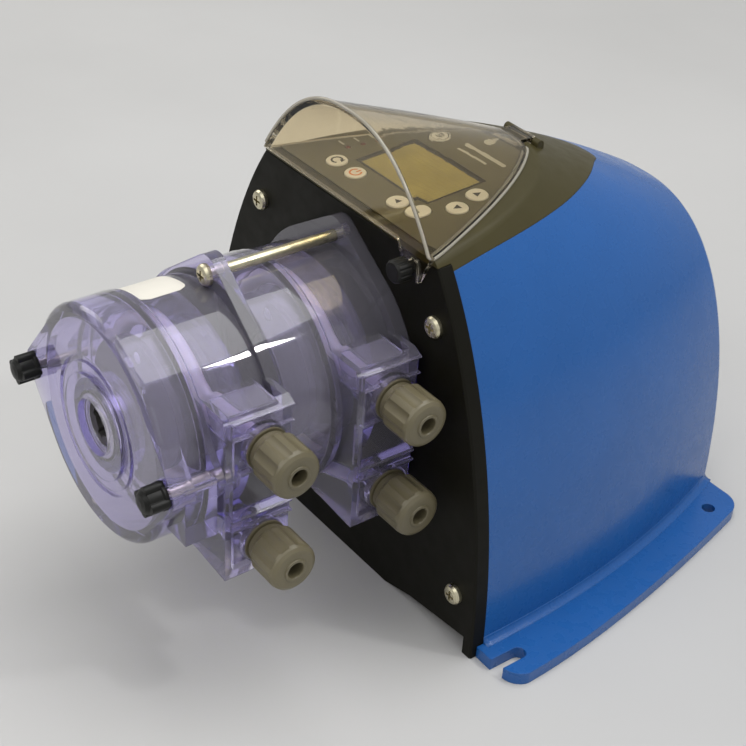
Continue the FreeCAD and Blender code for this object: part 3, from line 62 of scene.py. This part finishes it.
class Look:
    """A material with one Principled shader and the pattern nodes that feed it."""

    def __init__(self, name):
        self.material = bpy.data.materials.new(name)
        self.material.use_nodes = True
        self.tree = self.material.node_tree
        self.tree.nodes.clear()
        self.shader = self.node("ShaderNodeBsdfPrincipled")
        self.output = self.node("ShaderNodeOutputMaterial")
        self.link(self.shader.outputs[0], self.output.inputs["Surface"])
        self.place = self.node("ShaderNodeTexCoord").outputs["Object"]
        self.normal = None

    def node(self, kind, **settings):
        made = self.tree.nodes.new(kind)
        for key, setting in settings.items():
            setattr(made, key, setting)
        return made

    def link(self, source, target):
        self.tree.links.new(source, target)

    def set(self, **values):
        for key, number in values.items():
            self.shader.inputs[key.replace("_", " ")].default_value = number
        return self

    def stretched(self, factors):
        """Object coordinates scaled unevenly, for brushed or ribbed patterns."""
        mapping = self.node("ShaderNodeMapping")
        mapping.inputs["Scale"].default_value = factors
        self.link(self.place, mapping.inputs["Vector"])
        return mapping.outputs[0]

    def noise(self, scale, detail=2.0, where=None):
        made = self.node("ShaderNodeTexNoise")
        made.inputs["Scale"].default_value = scale
        made.inputs["Detail"].default_value = detail
        self.link(where or self.place, made.inputs["Vector"])
        return made.outputs["Fac"]

    def cells(self, scale, feature="F1"):
        made = self.node("ShaderNodeTexVoronoi", feature=feature)
        made.inputs["Scale"].default_value = scale
        self.link(self.place, made.inputs["Vector"])
        return made.outputs["Distance"]

    def ramp(self, source, stops):
        """Colours or greys by the source's value: stops are (position, colour)."""
        made = self.node("ShaderNodeValToRGB")
        elements = made.color_ramp.elements
        while len(elements) < len(stops):
            elements.new(1.0)
        for element, (position, colour) in zip(elements, stops):
            element.position = position
            element.color = (*colour, 1.0)
        self.link(source, made.inputs["Fac"])
        return made.outputs["Color"]

    def between(self, source, low, high, start=0.3, end=0.7):
        """A number from low to high as the source goes from start to end."""
        made = self.node("ShaderNodeMapRange")
        for name, number in (
            ("From Min", start), ("From Max", end), ("To Min", low), ("To Max", high),
        ):
            made.inputs[name].default_value = number
        self.link(source, made.inputs["Value"])
        return made.outputs["Result"]

    def colour(self, source):
        self.link(source, self.shader.inputs["Base Color"])

    def rough(self, source):
        self.link(source, self.shader.inputs["Roughness"])

    def rounded(self, radius):
        """Soft highlights along edges, as every moulded or machined edge has."""
        made = self.node("ShaderNodeBevel", samples=4)
        made.inputs["Radius"].default_value = radius
        self.normal = made.outputs["Normal"]
        self.link(self.normal, self.shader.inputs["Normal"])

    def bump(self, height, distance, strength=1.0):
        made = self.node("ShaderNodeBump")
        made.inputs["Strength"].default_value = strength
        made.inputs["Distance"].default_value = distance
        self.link(height, made.inputs["Height"])
        if self.normal is not None:
            self.link(self.normal, made.inputs["Normal"])
        self.normal = made.outputs["Normal"]
        self.link(self.normal, self.shader.inputs["Normal"])


def shade(colour, factor):
    """The same colour, darker or lighter."""
    return tuple(min(part * factor, 1.0) for part in colour)


def moulded(name, colour, roughness, grain=2200.0, depth=0.02, edge=0.35, spread=0.12):
    """Moulded plastic: slight mottling, a fine grain, uneven gloss and soft edges."""
    look = Look(name)
    mottle = look.noise(22.0, 3.0)
    look.colour(look.ramp(mottle, [
        (0.3, shade(colour, 1 - spread)), (0.55, colour), (0.8, shade(colour, 1 + spread)),
    ]))
    look.rough(look.between(look.noise(140.0, 4.0), roughness - 0.05, roughness + 0.07))
    look.rounded(edge * MM)
    look.bump(look.noise(grain, 1.0), depth * MM, 0.6)
    return look


def metal(name, colour, roughness, stretch, depth=0.01, edge=0.25):
    """Bare or plated metal with drawn lines along one direction and dull patches."""
    look = Look(name)
    look.set(Metallic=1.0)
    patches = look.noise(260.0, 3.0)
    look.colour(look.ramp(patches, [
        (0.3, shade(colour, 0.82)), (0.6, colour), (0.8, shade(colour, 1.1)),
    ]))
    lines = look.noise(500.0, 2.0, look.stretched(stretch))
    look.rough(look.between(lines, roughness - 0.06, roughness + 0.12))
    look.rounded(edge * MM)
    look.bump(lines, depth * MM, 0.5)
    return look


def clear(name, tint, density, roughness, wave=0.05, edge=0.5, surface=(1.0, 1.0, 1.0)):
    """Clear moulded plastic: tinted by its thickness, faintly wavy, bright at its edges."""
    look = Look(name)
    look.set(Transmission_Weight=1.0, IOR=1.49)
    look.shader.inputs["Base Color"].default_value = (*surface, 1.0)
    haze = look.noise(90.0, 4.0)
    look.colour(look.ramp(haze, [(0.35, shade(surface, 0.97)), (0.7, surface)]))
    look.rough(look.between(look.noise(260.0, 3.0), roughness * 0.5, roughness * 1.6))
    look.rounded(edge * MM)
    look.bump(look.noise(55.0, 1.0), wave * MM, 0.5)
    if density:
        volume = look.node("ShaderNodeVolumeAbsorption")
        volume.inputs["Color"].default_value = (*tint, 1.0)
        volume.inputs["Density"].default_value = density
        look.link(volume.outputs[0], look.output.inputs["Volume"])
    return look


# ---------------------------------------------------------------- the materials

def blue_shell():
    """Royal-blue moulding: fine texture and soft gloss."""
    look = moulded("blue_moulding", (0.011, 0.092, 0.315), 0.27, grain=2600.0, depth=0.012,
                   edge=0.6, spread=0.05)
    look.set(Coat_Weight=0.12, Coat_Roughness=0.12, Specular_IOR_Level=0.4)
    return look.material


def black_shell():
    """Black moulding of the base plate and the gland."""
    look = moulded("black_moulding", (0.0105, 0.0102, 0.0078), 0.40, grain=2400.0,
                   depth=0.018, edge=0.5, spread=0.15)
    look.set(Specular_IOR_Level=0.42)
    return look.material


def panel_film():
    """The panel's printed film: dark olive grey, very finely pebbled."""
    return moulded("panel_film", (0.115, 0.103, 0.055), 0.36, grain=3800.0, depth=0.01,
                   edge=0.2, spread=0.08).material


def display_glass():
    """A switched-off display: olive green with a faint grid of cells."""
    look = Look("display_cells")
    pitch = 1.6 * MM
    cells = look.node("ShaderNodeTexBrick", offset=0.0, squash=1.0)
    for name, number in (
        ("Scale", 1.0), ("Mortar Size", 0.09 * MM), ("Mortar Smooth", 0.3), ("Bias", 0.0),
        ("Brick Width", pitch), ("Row Height", pitch * 1.5),
    ):
        cells.inputs[name].default_value = number
    look.link(look.place, cells.inputs["Vector"])
    ground = look.ramp(look.noise(60.0, 3.0), [
        (0.35, (0.50, 0.41, 0.075)), (0.7, (0.62, 0.51, 0.10)),
    ])
    cells.inputs["Mortar"].default_value = (0.38, 0.31, 0.055, 1.0)
    look.link(ground, cells.inputs["Color1"])
    look.link(ground, cells.inputs["Color2"])
    look.colour(cells.outputs["Color"])
    look.rough(look.between(look.noise(400.0), 0.3, 0.42))
    look.bump(look.noise(900.0), 0.005 * MM, 0.4)
    return look.material


def circuit_board():
    """Green board with small pale solder points."""
    look = Look("solder_mask")
    look.colour(look.ramp(look.cells(420.0), [
        (0.05, (0.45, 0.33, 0.12)), (0.1, (0.02, 0.11, 0.045)), (0.9, (0.012, 0.075, 0.03)),
    ]))
    look.rough(look.between(look.noise(300.0), 0.3, 0.5))
    look.bump(look.cells(420.0), 0.03 * MM, 0.3)
    return look.material


def pump_tubing():
    """Cream thermoplastic tubing: a little light passes through its skin."""
    look = moulded("cream_tubing", (0.95, 0.90, 0.74), 0.44, grain=900.0, depth=0.02,
                   edge=0.1, spread=0.08)
    look.set(Subsurface_Weight=0.35, Subsurface_Scale=1.0)
    look.shader.inputs["Subsurface Radius"].default_value = (0.0022, 0.0017, 0.0010)
    return look.material


def ribbed_moulding():
    """The ports' grey-olive moulding, with the dull bloom of glass-filled plastic."""
    return moulded("grey_moulding", (0.135, 0.116, 0.067), 0.38, grain=2000.0, depth=0.03,
                   edge=0.4, spread=0.14).material


def violet_clear():
    """The pump heads' plastic: clear where thin, violet along its edges, slightly milky."""
    look = clear("violet_clear", (0.50, 0.45, 0.86), 44.0, 0.03, 0.04, 0.7, (0.86, 0.82, 0.97))
    look.set(Transmission_Weight=0.90, IOR=1.22, Coat_Weight=0.8, Coat_Roughness=0.04)
    return look.material


def amber_clear():
    """The hinged lid's plastic: very clear, with a light amber tint."""
    look = clear("clear_lid", (0.82, 0.70, 0.46), 12.0, 0.025, 0.03, 0.5, (0.95, 0.87, 0.70))
    look.set(IOR=1.34)
    return look.material


MATERIALS = {
    "blue_housing": blue_shell(),
    "black_plastic": black_shell(),
    "zinc_steel": metal("zinc_plate", (0.66, 0.61, 0.44), 0.30, (1.0, 0.12, 1.0)).material,
    "panel_print": panel_film(),
    "window": clear("display_window", (1, 1, 1), 0.0, 0.03, 0.01, 0.2).material,
    "display": display_glass(),
    "circuit_board": circuit_board(),
    "lamp": moulded("lamp_lens", (0.16, 0.05, 0.035), 0.25, edge=0.2).material,
    "clear_lid": amber_clear(),
    "clear_head": violet_clear(),
    "cast_alloy": metal("die_cast", (0.50, 0.50, 0.51), 0.46, (1.0, 1.0, 1.0), 0.05).material,
    "motor_steel": moulded("motor_enamel", (0.02, 0.021, 0.023), 0.35, 700.0, 0.03).material,
    "bearing_steel": metal("ground_steel", (0.72, 0.72, 0.70), 0.22, (0.1, 1.0, 0.1)).material,
    "tube": pump_tubing(),
    "port_grey": ribbed_moulding(),
    "dark_rotor": moulded("rotor_moulding", (0.045, 0.042, 0.038), 0.42, 1500.0).material,
    "roller": moulded("grey_acetal", (0.13, 0.12, 0.10), 0.34, 1200.0).material,
    "key": moulded("printed_key", (0.66, 0.65, 0.60), 0.45, 3000.0, 0.012, 0.3, 0.05).material,
    "label": moulded("paper_label", (0.66, 0.63, 0.56), 0.55, 1600.0, 0.015, 0.05).material,
}
# The beads' pale, half-clear colour is a painted highlight along the lid's clear edges.
LID_EDGE_HIGHLIGHT = moulded("lid_edge_painted_highlight", (0.62, 0.58, 0.48), 0.12, edge=0.2, spread=0.05)
LID_EDGE_HIGHLIGHT.set(Transmission_Weight=0.55, IOR=1.49)
DARK_INK = moulded("dark_ink", (0.035, 0.034, 0.03), 0.5, 3000.0, 0.006, 0.05).material
PALE_INK = moulded("pale_ink", (0.50, 0.49, 0.43), 0.5, 3000.0, 0.006, 0.05).material
ORANGE_INK = moulded("orange_ink", (0.62, 0.17, 0.03), 0.5, 3000.0, 0.006, 0.05).material

# The faceplate gets a darker, duller copy of the black moulding: painted shade on its front face.
FACEPLATE_SHADED = moulded("matt_black_painted_shade", (0.0065, 0.006, 0.0035), 0.5, grain=2400.0,
                    depth=0.018, edge=0.5, spread=0.15)
FACEPLATE_SHADED.set(Specular_IOR_Level=0.12)
# The nose cap gets a lighter, olive-tinted copy of the black moulding: painted light on its top.
NOSE_CAP_LIT = moulded("black_moulding_painted_top_light", (0.052, 0.044, 0.016), 0.38, grain=2400.0,
                   depth=0.018, edge=0.5, spread=0.1)
NOSE_CAP_LIT.set(Specular_IOR_Level=0.22)
KNOB = moulded("knob_moulding", (0.006, 0.006, 0.005), 0.42, grain=2000.0, depth=0.01,
               edge=0.3, spread=0.1)
KNOB.set(Specular_IOR_Level=0.25)
PIN = metal("blackened_pin", (0.10, 0.09, 0.06), 0.4, (1.0, 0.12, 1.0), 0.05)
# Finishes by node: the knob, thumb nuts and pin have their own; the faceplate and nose cap carry
# painted shade and painted light.
FINISH_AND_PAINTED_LIGHT = {
    "faceplate": FACEPLATE_SHADED.material, "nose_cap": NOSE_CAP_LIT.material,
    "lid_knob": KNOB.material, "left_thumb_nut": KNOB.material,
    "right_thumb_nut": KNOB.material, "hinge_pin": PIN.material,
}

for node, thing in frame["nodes"].items():
    for holder in thing.material_slots:
        holder.material = FINISH_AND_PAINTED_LIGHT.get(node, MATERIALS[SLOT_OF[node]])


# ---------------------------------------------------------------- mesh helpers

def piece(name, vertices, faces, material, body, slot, smooth=True):
    """A new mesh object that rides on a body."""
    mesh = bpy.data.meshes.new(name)
    mesh.from_pydata([tuple(v) for v in vertices], [], faces)
    mesh.materials.append(material)
    mesh.update()
    for polygon in mesh.polygons:
        polygon.use_smooth = smooth
    made = bpy.data.objects.new(name, mesh)
    bpy.context.scene.collection.objects.link(made)
    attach(made, body)
    return made


def swept(points, radius, closed, sides=10):
    """A round bar along a run of points, with rounded-off ends if it is open."""
    count = len(points)
    vertices = []
    faces = []
    side_way = None
    for index, point in enumerate(points):
        before = points[index - 1] if closed or index else points[0]
        after = points[(index + 1) % count] if closed or index + 1 < count else points[-1]
        along = (after - before).normalized()
        if side_way is None:
            side_way = along.orthogonal()
        side_way = (side_way - along * side_way.dot(along)).normalized()
        up_way = along.cross(side_way)
        size = radius if closed or 0 < index < count - 1 else radius * 0.45
        for step in range(sides):
            angle = 2 * math.pi * step / sides
            vertices.append(point + (side_way * math.cos(angle) + up_way * math.sin(angle)) * size)
    for index in range(count if closed else count - 1):
        first = index * sides
        second = (index + 1) % count * sides
        for step in range(sides):
            following = (step + 1) % sides
            faces.append((first + step, first + following, second + following, second + step))
    if not closed:
        faces.append(tuple(reversed(range(sides))))
        faces.append(tuple(range((count - 1) * sides, count * sides)))
    return vertices, faces


def sharp_runs(node, keep):
    """Runs of points along a node's sharp edges, for the edges whose two ends pass keep."""
    shape = bmesh.new()
    shape.from_mesh(frame["nodes"][node].data)
    bmesh.ops.remove_doubles(shape, verts=shape.verts, dist=1e-6)
    links = {}
    for edge in shape.edges:
        if len(edge.link_faces) != 2 or edge.calc_face_angle(0.0) < SHARP:
            continue
        if keep(edge.verts[0].co) and keep(edge.verts[1].co):
            for here, there in (edge.verts, reversed(edge.verts)):
                links.setdefault(here.index, []).append(there.index)
    places = {vert.index: vert.co.copy() for vert in shape.verts}
    shape.free()
    runs = []
    starts = sorted(links, key=lambda index: (len(links[index]) != 1, index))
    used = set()
    for start in starts:
        if start in used:
            continue
        run = [start]
        used.add(start)
        while True:
            onward = [index for index in links[run[-1]] if index not in used]
            if not onward:
                break
            run.append(onward[0])
            used.add(onward[0])
        closed = len(run) > 2 and run[0] in links[run[-1]]
        runs.append(([places[index] for index in run], closed))
    return runs


def evenly(points, spacing):
    """The same run with points a fixed distance apart."""
    spaced = [points[0]]
    left = spacing
    for start, end in zip(points, points[1:]):
        length = (end - start).length
        travelled = left
        while travelled <= length:
            spaced.append(start.lerp(end, travelled / length))
            travelled += spacing
        left = travelled - length
    spaced.append(points[-1])
    return spaced


def printed(name, outlines, centre, across, up, material, body, slot, rise=0.1 * MM):
    """Ink shapes of a small thickness on a flat face; outlines are in millimetres."""
    normal = across.cross(up)
    vertices = []
    faces = []
    for shape in outlines:
        first = len(vertices)
        size = len(shape)
        for level in (-0.3 * rise, rise):
            for right, forward in shape:
                vertices.append(centre + across * right * MM + up * forward * MM + normal * level)
        faces.append(tuple(first + index for index in reversed(range(size))))
        faces.append(tuple(first + size + index for index in range(size)))
        for index in range(size):
            following = (index + 1) % size
            faces.append((first + index, first + following,
                          first + size + following, first + size + index))
    return piece(name, vertices, faces, material, body, slot, smooth=False)


def arc_band(inner, outer, start, end, steps=40, middle=(0.0, 0.0)):
    """A band of a ring between two angles in degrees, as a closed outline."""
    angles = [math.radians(start + (end - start) * step / steps) for step in range(steps + 1)]
    x, y = middle
    far = [(x + outer * math.cos(a), y + outer * math.sin(a)) for a in angles]
    near = [(x + inner * math.cos(a), y + inner * math.sin(a)) for a in reversed(angles)]
    return far + near


def bar(width, height, x=0.0, y=0.0, turn=0.0):
    """A bar with rounded ends."""
    radius = min(width, height) / 2
    reach = max(width, height) / 2 - radius
    lean = math.radians(turn) + (0.0 if width >= height else math.pi / 2)
    outline = []
    for side in (1, -1):
        for step in range(9):
            angle = -math.pi / 2 + math.pi * step / 8 + (0.0 if side > 0 else math.pi)
            px = side * reach + radius * math.cos(angle)
            py = radius * math.sin(angle)
            outline.append((x + px * math.cos(lean) - py * math.sin(lean),
                            y + px * math.sin(lean) + py * math.cos(lean)))
    return outline


def triangle(size, pointing, x=0.0, y=0.0):
    """A triangle with its tip towards an angle in degrees."""
    return [
        (x + size * math.cos(math.radians(pointing + turn)),
         y + size * math.sin(math.radians(pointing + turn)))
        for turn in (0, 125, 235)
    ]


# ---------------------------------------------------------------- control panel

press = next(j for j in record["behaviour"]["joints"] if j["name"] == "power_key_press")
PANEL_NORMAL = -Vector(press["axis"])
PANEL_ACROSS = Vector((1.0, 0.0, 0.0))
PANEL_UP = PANEL_NORMAL.cross(PANEL_ACROSS)


def key_top(node):
    """The middle of a key's top face."""
    low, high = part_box(node)
    vertices = frame["nodes"][node].data.vertices
    top = max(vertex.co.dot(PANEL_NORMAL) for vertex in vertices)
    middle = (Vector(low) + Vector(high)) / 2
    return middle + PANEL_NORMAL * (top - middle.dot(PANEL_NORMAL))


KEY_MARKS = {
    "clear_key": (DARK_INK, [arc_band(1.9, 2.8, 40, 320), triangle(1.5, -50, 1.9, 1.4)]),
    "power_key": (ORANGE_INK, [arc_band(2.1, 2.9, 125, 415), bar(0.8, 2.6, 0, 1.6)]),
    "left_key": (DARK_INK, [triangle(1.9, 180)]),
    "right_key": (DARK_INK, [triangle(1.9, 0)]),
    "down_key": (DARK_INK, [triangle(2.1, 270)]),
    "up_key": (DARK_INK, [triangle(2.1, 90)]),
    "mode_key": (DARK_INK, [
        bar(3.4, 0.6, 0, 1.2), bar(3.4, 0.6), bar(3.4, 0.6, 0, -1.2),
        *[arc_band(3.75, 4.1, 180 * half, 180 * half + 180) for half in (0, 1)],
    ]),
}

for node, (ink, outlines) in KEY_MARKS.items():
    printed(f"{node}_mark", outlines, key_top(node), PANEL_ACROSS, PANEL_UP, ink, node, "key",
            0.05 * MM)

window_low, window_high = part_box("lcd_window")
window_middle = (Vector(window_low) + Vector(window_high)) / 2
overlay_top = max(v.co.dot(PANEL_NORMAL) for v in frame["nodes"]["panel_overlay"].data.vertices)


def on_panel(right, forward):
    """A place on the overlay's top face, in millimetres from the window's middle."""
    place = window_middle + PANEL_ACROSS * right * MM + PANEL_UP * forward * MM
    return place + PANEL_NORMAL * (overlay_top - place.dot(PANEL_NORMAL))


def drop_outline(size):
    """A drop: round below and pointed above."""
    outline = []
    for step in range(33):
        angle = math.radians(-235 + 290 * step / 32)
        outline.append((size * math.cos(angle), size * math.sin(angle)))
    return outline + [(0.0, size * 2.1)]


panel_marks = [
    bar(26.0, 2.2, 6.5, 29.6), bar(19.0, 1.3, 3.5, 24.6),
    bar(4.2, 0.8, -40.0, -11.5), bar(4.2, 0.8, -38.4, -4.5), bar(4.2, 0.8, -37.0, 2.5),
]
printed("panel_marks", panel_marks, on_panel(0, 0), PANEL_ACROSS, PANEL_UP, PALE_INK, "root",
        "panel_print")
printed("drop_mark", [[(x - 1.5, y + 39.0) for x, y in drop_outline(2.6)]], on_panel(0, 0),
        PANEL_ACROSS, PANEL_UP, PALE_INK, "root", "panel_print")


# ---------------------------------------------------------------- label

def curved_label():
    """A blank paper label with round corners, stuck on the front head's round wall."""
    low, high = (Vector(corner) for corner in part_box("head_label"))
    shaft = next(j for j in record["behaviour"]["joints"] if j["name"] == "rotor_turn")["pos_m"]
    radius = max(
        math.hypot(vertex.co.x - shaft[0], vertex.co.z - shaft[2])
        for vertex in frame["nodes"]["head_label"].data.vertices
    )
    start = math.atan2(math.sqrt(radius ** 2 - (high.x - shaft[0]) ** 2), high.x - shaft[0])
    end = math.atan2(low.z - shaft[2], low.x - shaft[0])
    wide = radius * (end - start)
    deep = high.y - low.y
    corner = 4.0 * MM
    rows, columns = 28, 40
    vertices = []
    for level in (radius - 0.2 * MM, radius):
        for row in range(rows + 1):
            across = row / rows * wide
            trim = 0.0
            edge = min(across, wide - across)
            if edge < corner:
                trim = corner - math.sqrt(corner ** 2 - (corner - edge) ** 2)
            for column in range(columns + 1):
                along = low.y + trim + (deep - 2 * trim) * column / columns
                angle = start + across / radius
                vertices.append((shaft[0] + level * math.cos(angle), along,
                                 shaft[2] + level * math.sin(angle)))
    size = (rows + 1) * (columns + 1)
    faces = []
    for row in range(rows):
        for column in range(columns):
            first = row * (columns + 1) + column
            loop = (first, first + 1, first + columns + 2, first + columns + 1)
            faces.append(tuple(reversed(loop)))
            faces.append(tuple(index + size for index in loop))
    rim = list(range(columns + 1))
    rim += [row * (columns + 1) + columns for row in range(1, rows + 1)]
    rim += [rows * (columns + 1) + column for column in reversed(range(columns))]
    rim += [row * (columns + 1) for row in reversed(range(1, rows))]
    for here, there in zip(rim, rim[1:] + rim[:1]):
        faces.append((here, there, there + size, here + size))
    made = piece("round_cornered_label", vertices, faces, MATERIALS["label"], "root", "label",
                 smooth=False)
    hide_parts("head_label")


curved_label()


# ---------------------------------------------------------------- flange fillet

def hollow_corner_runs(level):
    """Runs of points where the shell's wall stands on its foot flange, at a height."""
    shape = bmesh.new()
    shape.from_mesh(frame["nodes"]["housing"].data)
    bmesh.ops.remove_doubles(shape, verts=shape.verts, dist=1e-6)
    runs = []
    for side in (-1, 1):
        points = set()
        for edge in shape.edges:
            flat = all(abs(vert.co.z - level) < 0.05 * MM for vert in edge.verts)
            if flat and len(edge.link_faces) == 2 and not edge.is_convex:
                if edge.calc_face_angle(0.0) > SHARP:
                    points.update(tuple(v.co) for v in edge.verts if side * v.co.x > 0)
        runs.append([Vector(place) for place in sorted(points, key=lambda place: place[1])])
    shape.free()
    return runs


def foot_fillet():
    """The hollow fillet where the shell meets its foot flange, one strip on each side."""
    radius = 3.4 * MM
    buried = 0.4 * MM
    steps = 7
    profile = [(-buried, -buried), (radius, -buried)]
    for step in range(steps + 1):
        angle = math.pi / 2 * step / steps
        profile.append((radius * (1 - math.sin(angle)), radius * (1 - math.cos(angle))))
    profile.append((-buried, radius))
    size = len(profile)
    for index, run in enumerate(hollow_corner_runs(FLANGE_TOP)):
        run = evenly(run, 3.0 * MM)
        vertices = []
        faces = []
        for place, point in enumerate(run):
            before = run[max(place - 1, 0)]
            after = run[min(place + 1, len(run) - 1)]
            along = (after - before).normalized()
            outward = Vector((along.y, -along.x, 0.0)).normalized()
            if outward.x * point.x < 0:
                outward = -outward
            for out, up in profile:
                vertices.append(point + outward * out + Vector((0.0, 0.0, up)))
        for place in range(len(run) - 1):
            for corner in range(size):
                following = (corner + 1) % size
                first = place * size
                faces.append((first + corner, first + following,
                              first + size + following, first + size + corner))
        last = (len(run) - 1) * size
        faces.append(tuple(reversed(range(size))))
        faces.append(tuple(last + corner for corner in range(size)))
        if index == 1:
            faces = [tuple(reversed(face)) for face in faces]
        piece(f"foot_fillet_{index}", vertices, faces, MATERIALS["blue_housing"], "root",
              "blue_housing")


foot_fillet()


# ---------------------------------------------------------------- lid beads, pale as a painted edge highlight

lid_low, lid_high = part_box("lid")
lid_front = lid_low[1]


def above_panel(place):
    """How far a place stands above the overlay's top face."""
    return place.dot(PANEL_NORMAL) - overlay_top


def on_front_arch(place):
    return place.y < lid_front + 0.05 * MM and above_panel(place) > -0.2 * MM


def on_rim(place):
    return abs(above_panel(place)) < 0.75 * MM and place.y > lid_front + 1.0 * MM


beads = 0
for label, keep, radius in (("arch", on_front_arch, 0.75), ("rim", on_rim, 0.7)):
    for points, closed in sharp_runs("lid", keep):
        length = sum((b - a).length for a, b in zip(points, points[1:]))
        if length < SHORTEST_BEAD:
            continue
        if closed:
            points = points + [points[0]]
        spaced = evenly(points, 1.5 * MM)
        if closed:
            spaced = spaced[:-1]
        beads += 1
        piece(f"lid_{label}_bead_{beads}", *swept(spaced, radius * MM, closed),
              LID_EDGE_HIGHLIGHT.material, "lid", "clear_lid")


# ---------------------------------------------------------------- stage, light and camera

def stage_floor():
    """A pale seamless floor."""
    look = Look("studio_floor")
    look.colour(look.ramp(look.noise(3.0, 3.0), [
        (0.3, (0.475, 0.47, 0.46)), (0.7, (0.525, 0.52, 0.51)),
    ]))
    look.rough(look.between(look.noise(30.0), 0.75, 0.9))
    reach = 12.0
    steps = 24
    vertices = []
    for row in range(steps + 1):
        for column in range(steps + 1):
            vertices.append((reach * (2 * column / steps - 1), reach * (2 * row / steps - 1), 0.0))
    faces = []
    for row in range(steps):
        for column in range(steps):
            corner = row * (steps + 1) + column
            faces.append((corner, corner + 1, corner + steps + 2, corner + steps + 1))
    mesh = bpy.data.meshes.new("studio_floor")
    mesh.from_pydata(vertices, [], faces)
    mesh.materials.append(look.material)
    mesh.update()
    floor = bpy.data.objects.new("studio_floor", mesh)
    bpy.context.scene.collection.objects.link(floor)


def softbox(name, place, target, width, height, power, colour=(1.0, 1.0, 1.0)):
    """A rectangular area light turned to a target."""
    data = bpy.data.lights.new(name, "AREA")
    data.shape = "RECTANGLE"
    data.size = width
    data.size_y = height
    data.energy = power
    data.color = colour
    lamp = bpy.data.objects.new(name, data)
    lamp.location = place
    lamp.rotation_mode = "QUATERNION"
    lamp.rotation_quaternion = (Vector(target) - Vector(place)).to_track_quat("-Z", "Y")
    bpy.context.scene.collection.objects.link(lamp)


def studio():
    """Pale surroundings and soft lights."""
    world = bpy.data.worlds.new("studio_air")
    world.use_nodes = True
    background = world.node_tree.nodes["Background"]
    background.inputs["Color"].default_value = (0.90, 0.91, 0.92, 1.0)
    background.inputs["Strength"].default_value = 0.49
    bpy.context.scene.world = world
    middle = (0.0, -0.05, 0.1)
    softbox("overhead", (0.1, 0.25, 1.6), middle, 1.2, 1.2, 16.0)
    softbox("left_window", (-1.5, -0.3, 1.1), middle, 0.9, 1.1, 7.0, (1.0, 0.98, 0.94))
    softbox("right_fill", (1.6, -0.3, 0.8), middle, 1.0, 1.0, 2.4, (0.97, 0.98, 1.0))
    softbox("front_fill", (0.1, -0.95, 0.8), (0.0, -0.55, 0.0), 0.9, 0.9, 4.2)
    softbox("ceiling_panel", (0.75, 0.51, 1.21), middle, 0.09, 0.09, 2.6)


def photo_camera():
    """The camera at the photograph's viewing angle."""
    data = bpy.data.cameras.new("view_camera")
    data.sensor_width = 36.0
    data.lens = 77.59
    data.clip_start = 0.02
    data.clip_end = 60.0
    camera = bpy.data.objects.new("view_camera", data)
    right = Vector((0.59714, 0.80012, 0.05688))
    down = Vector((0.47657, -0.29684, -0.82751))
    forward = Vector((-0.64522, 0.52125, -0.55857))
    turn = Matrix((right, -down, -forward)).transposed().to_4x4()
    camera.matrix_world = Matrix.Translation((0.47056, -0.44999, 0.48976)) @ turn
    bpy.context.scene.collection.objects.link(camera)
    bpy.context.scene.camera = camera


stage_floor()
studio()
photo_camera()
bpy.context.scene.view_settings.view_transform = "Standard"
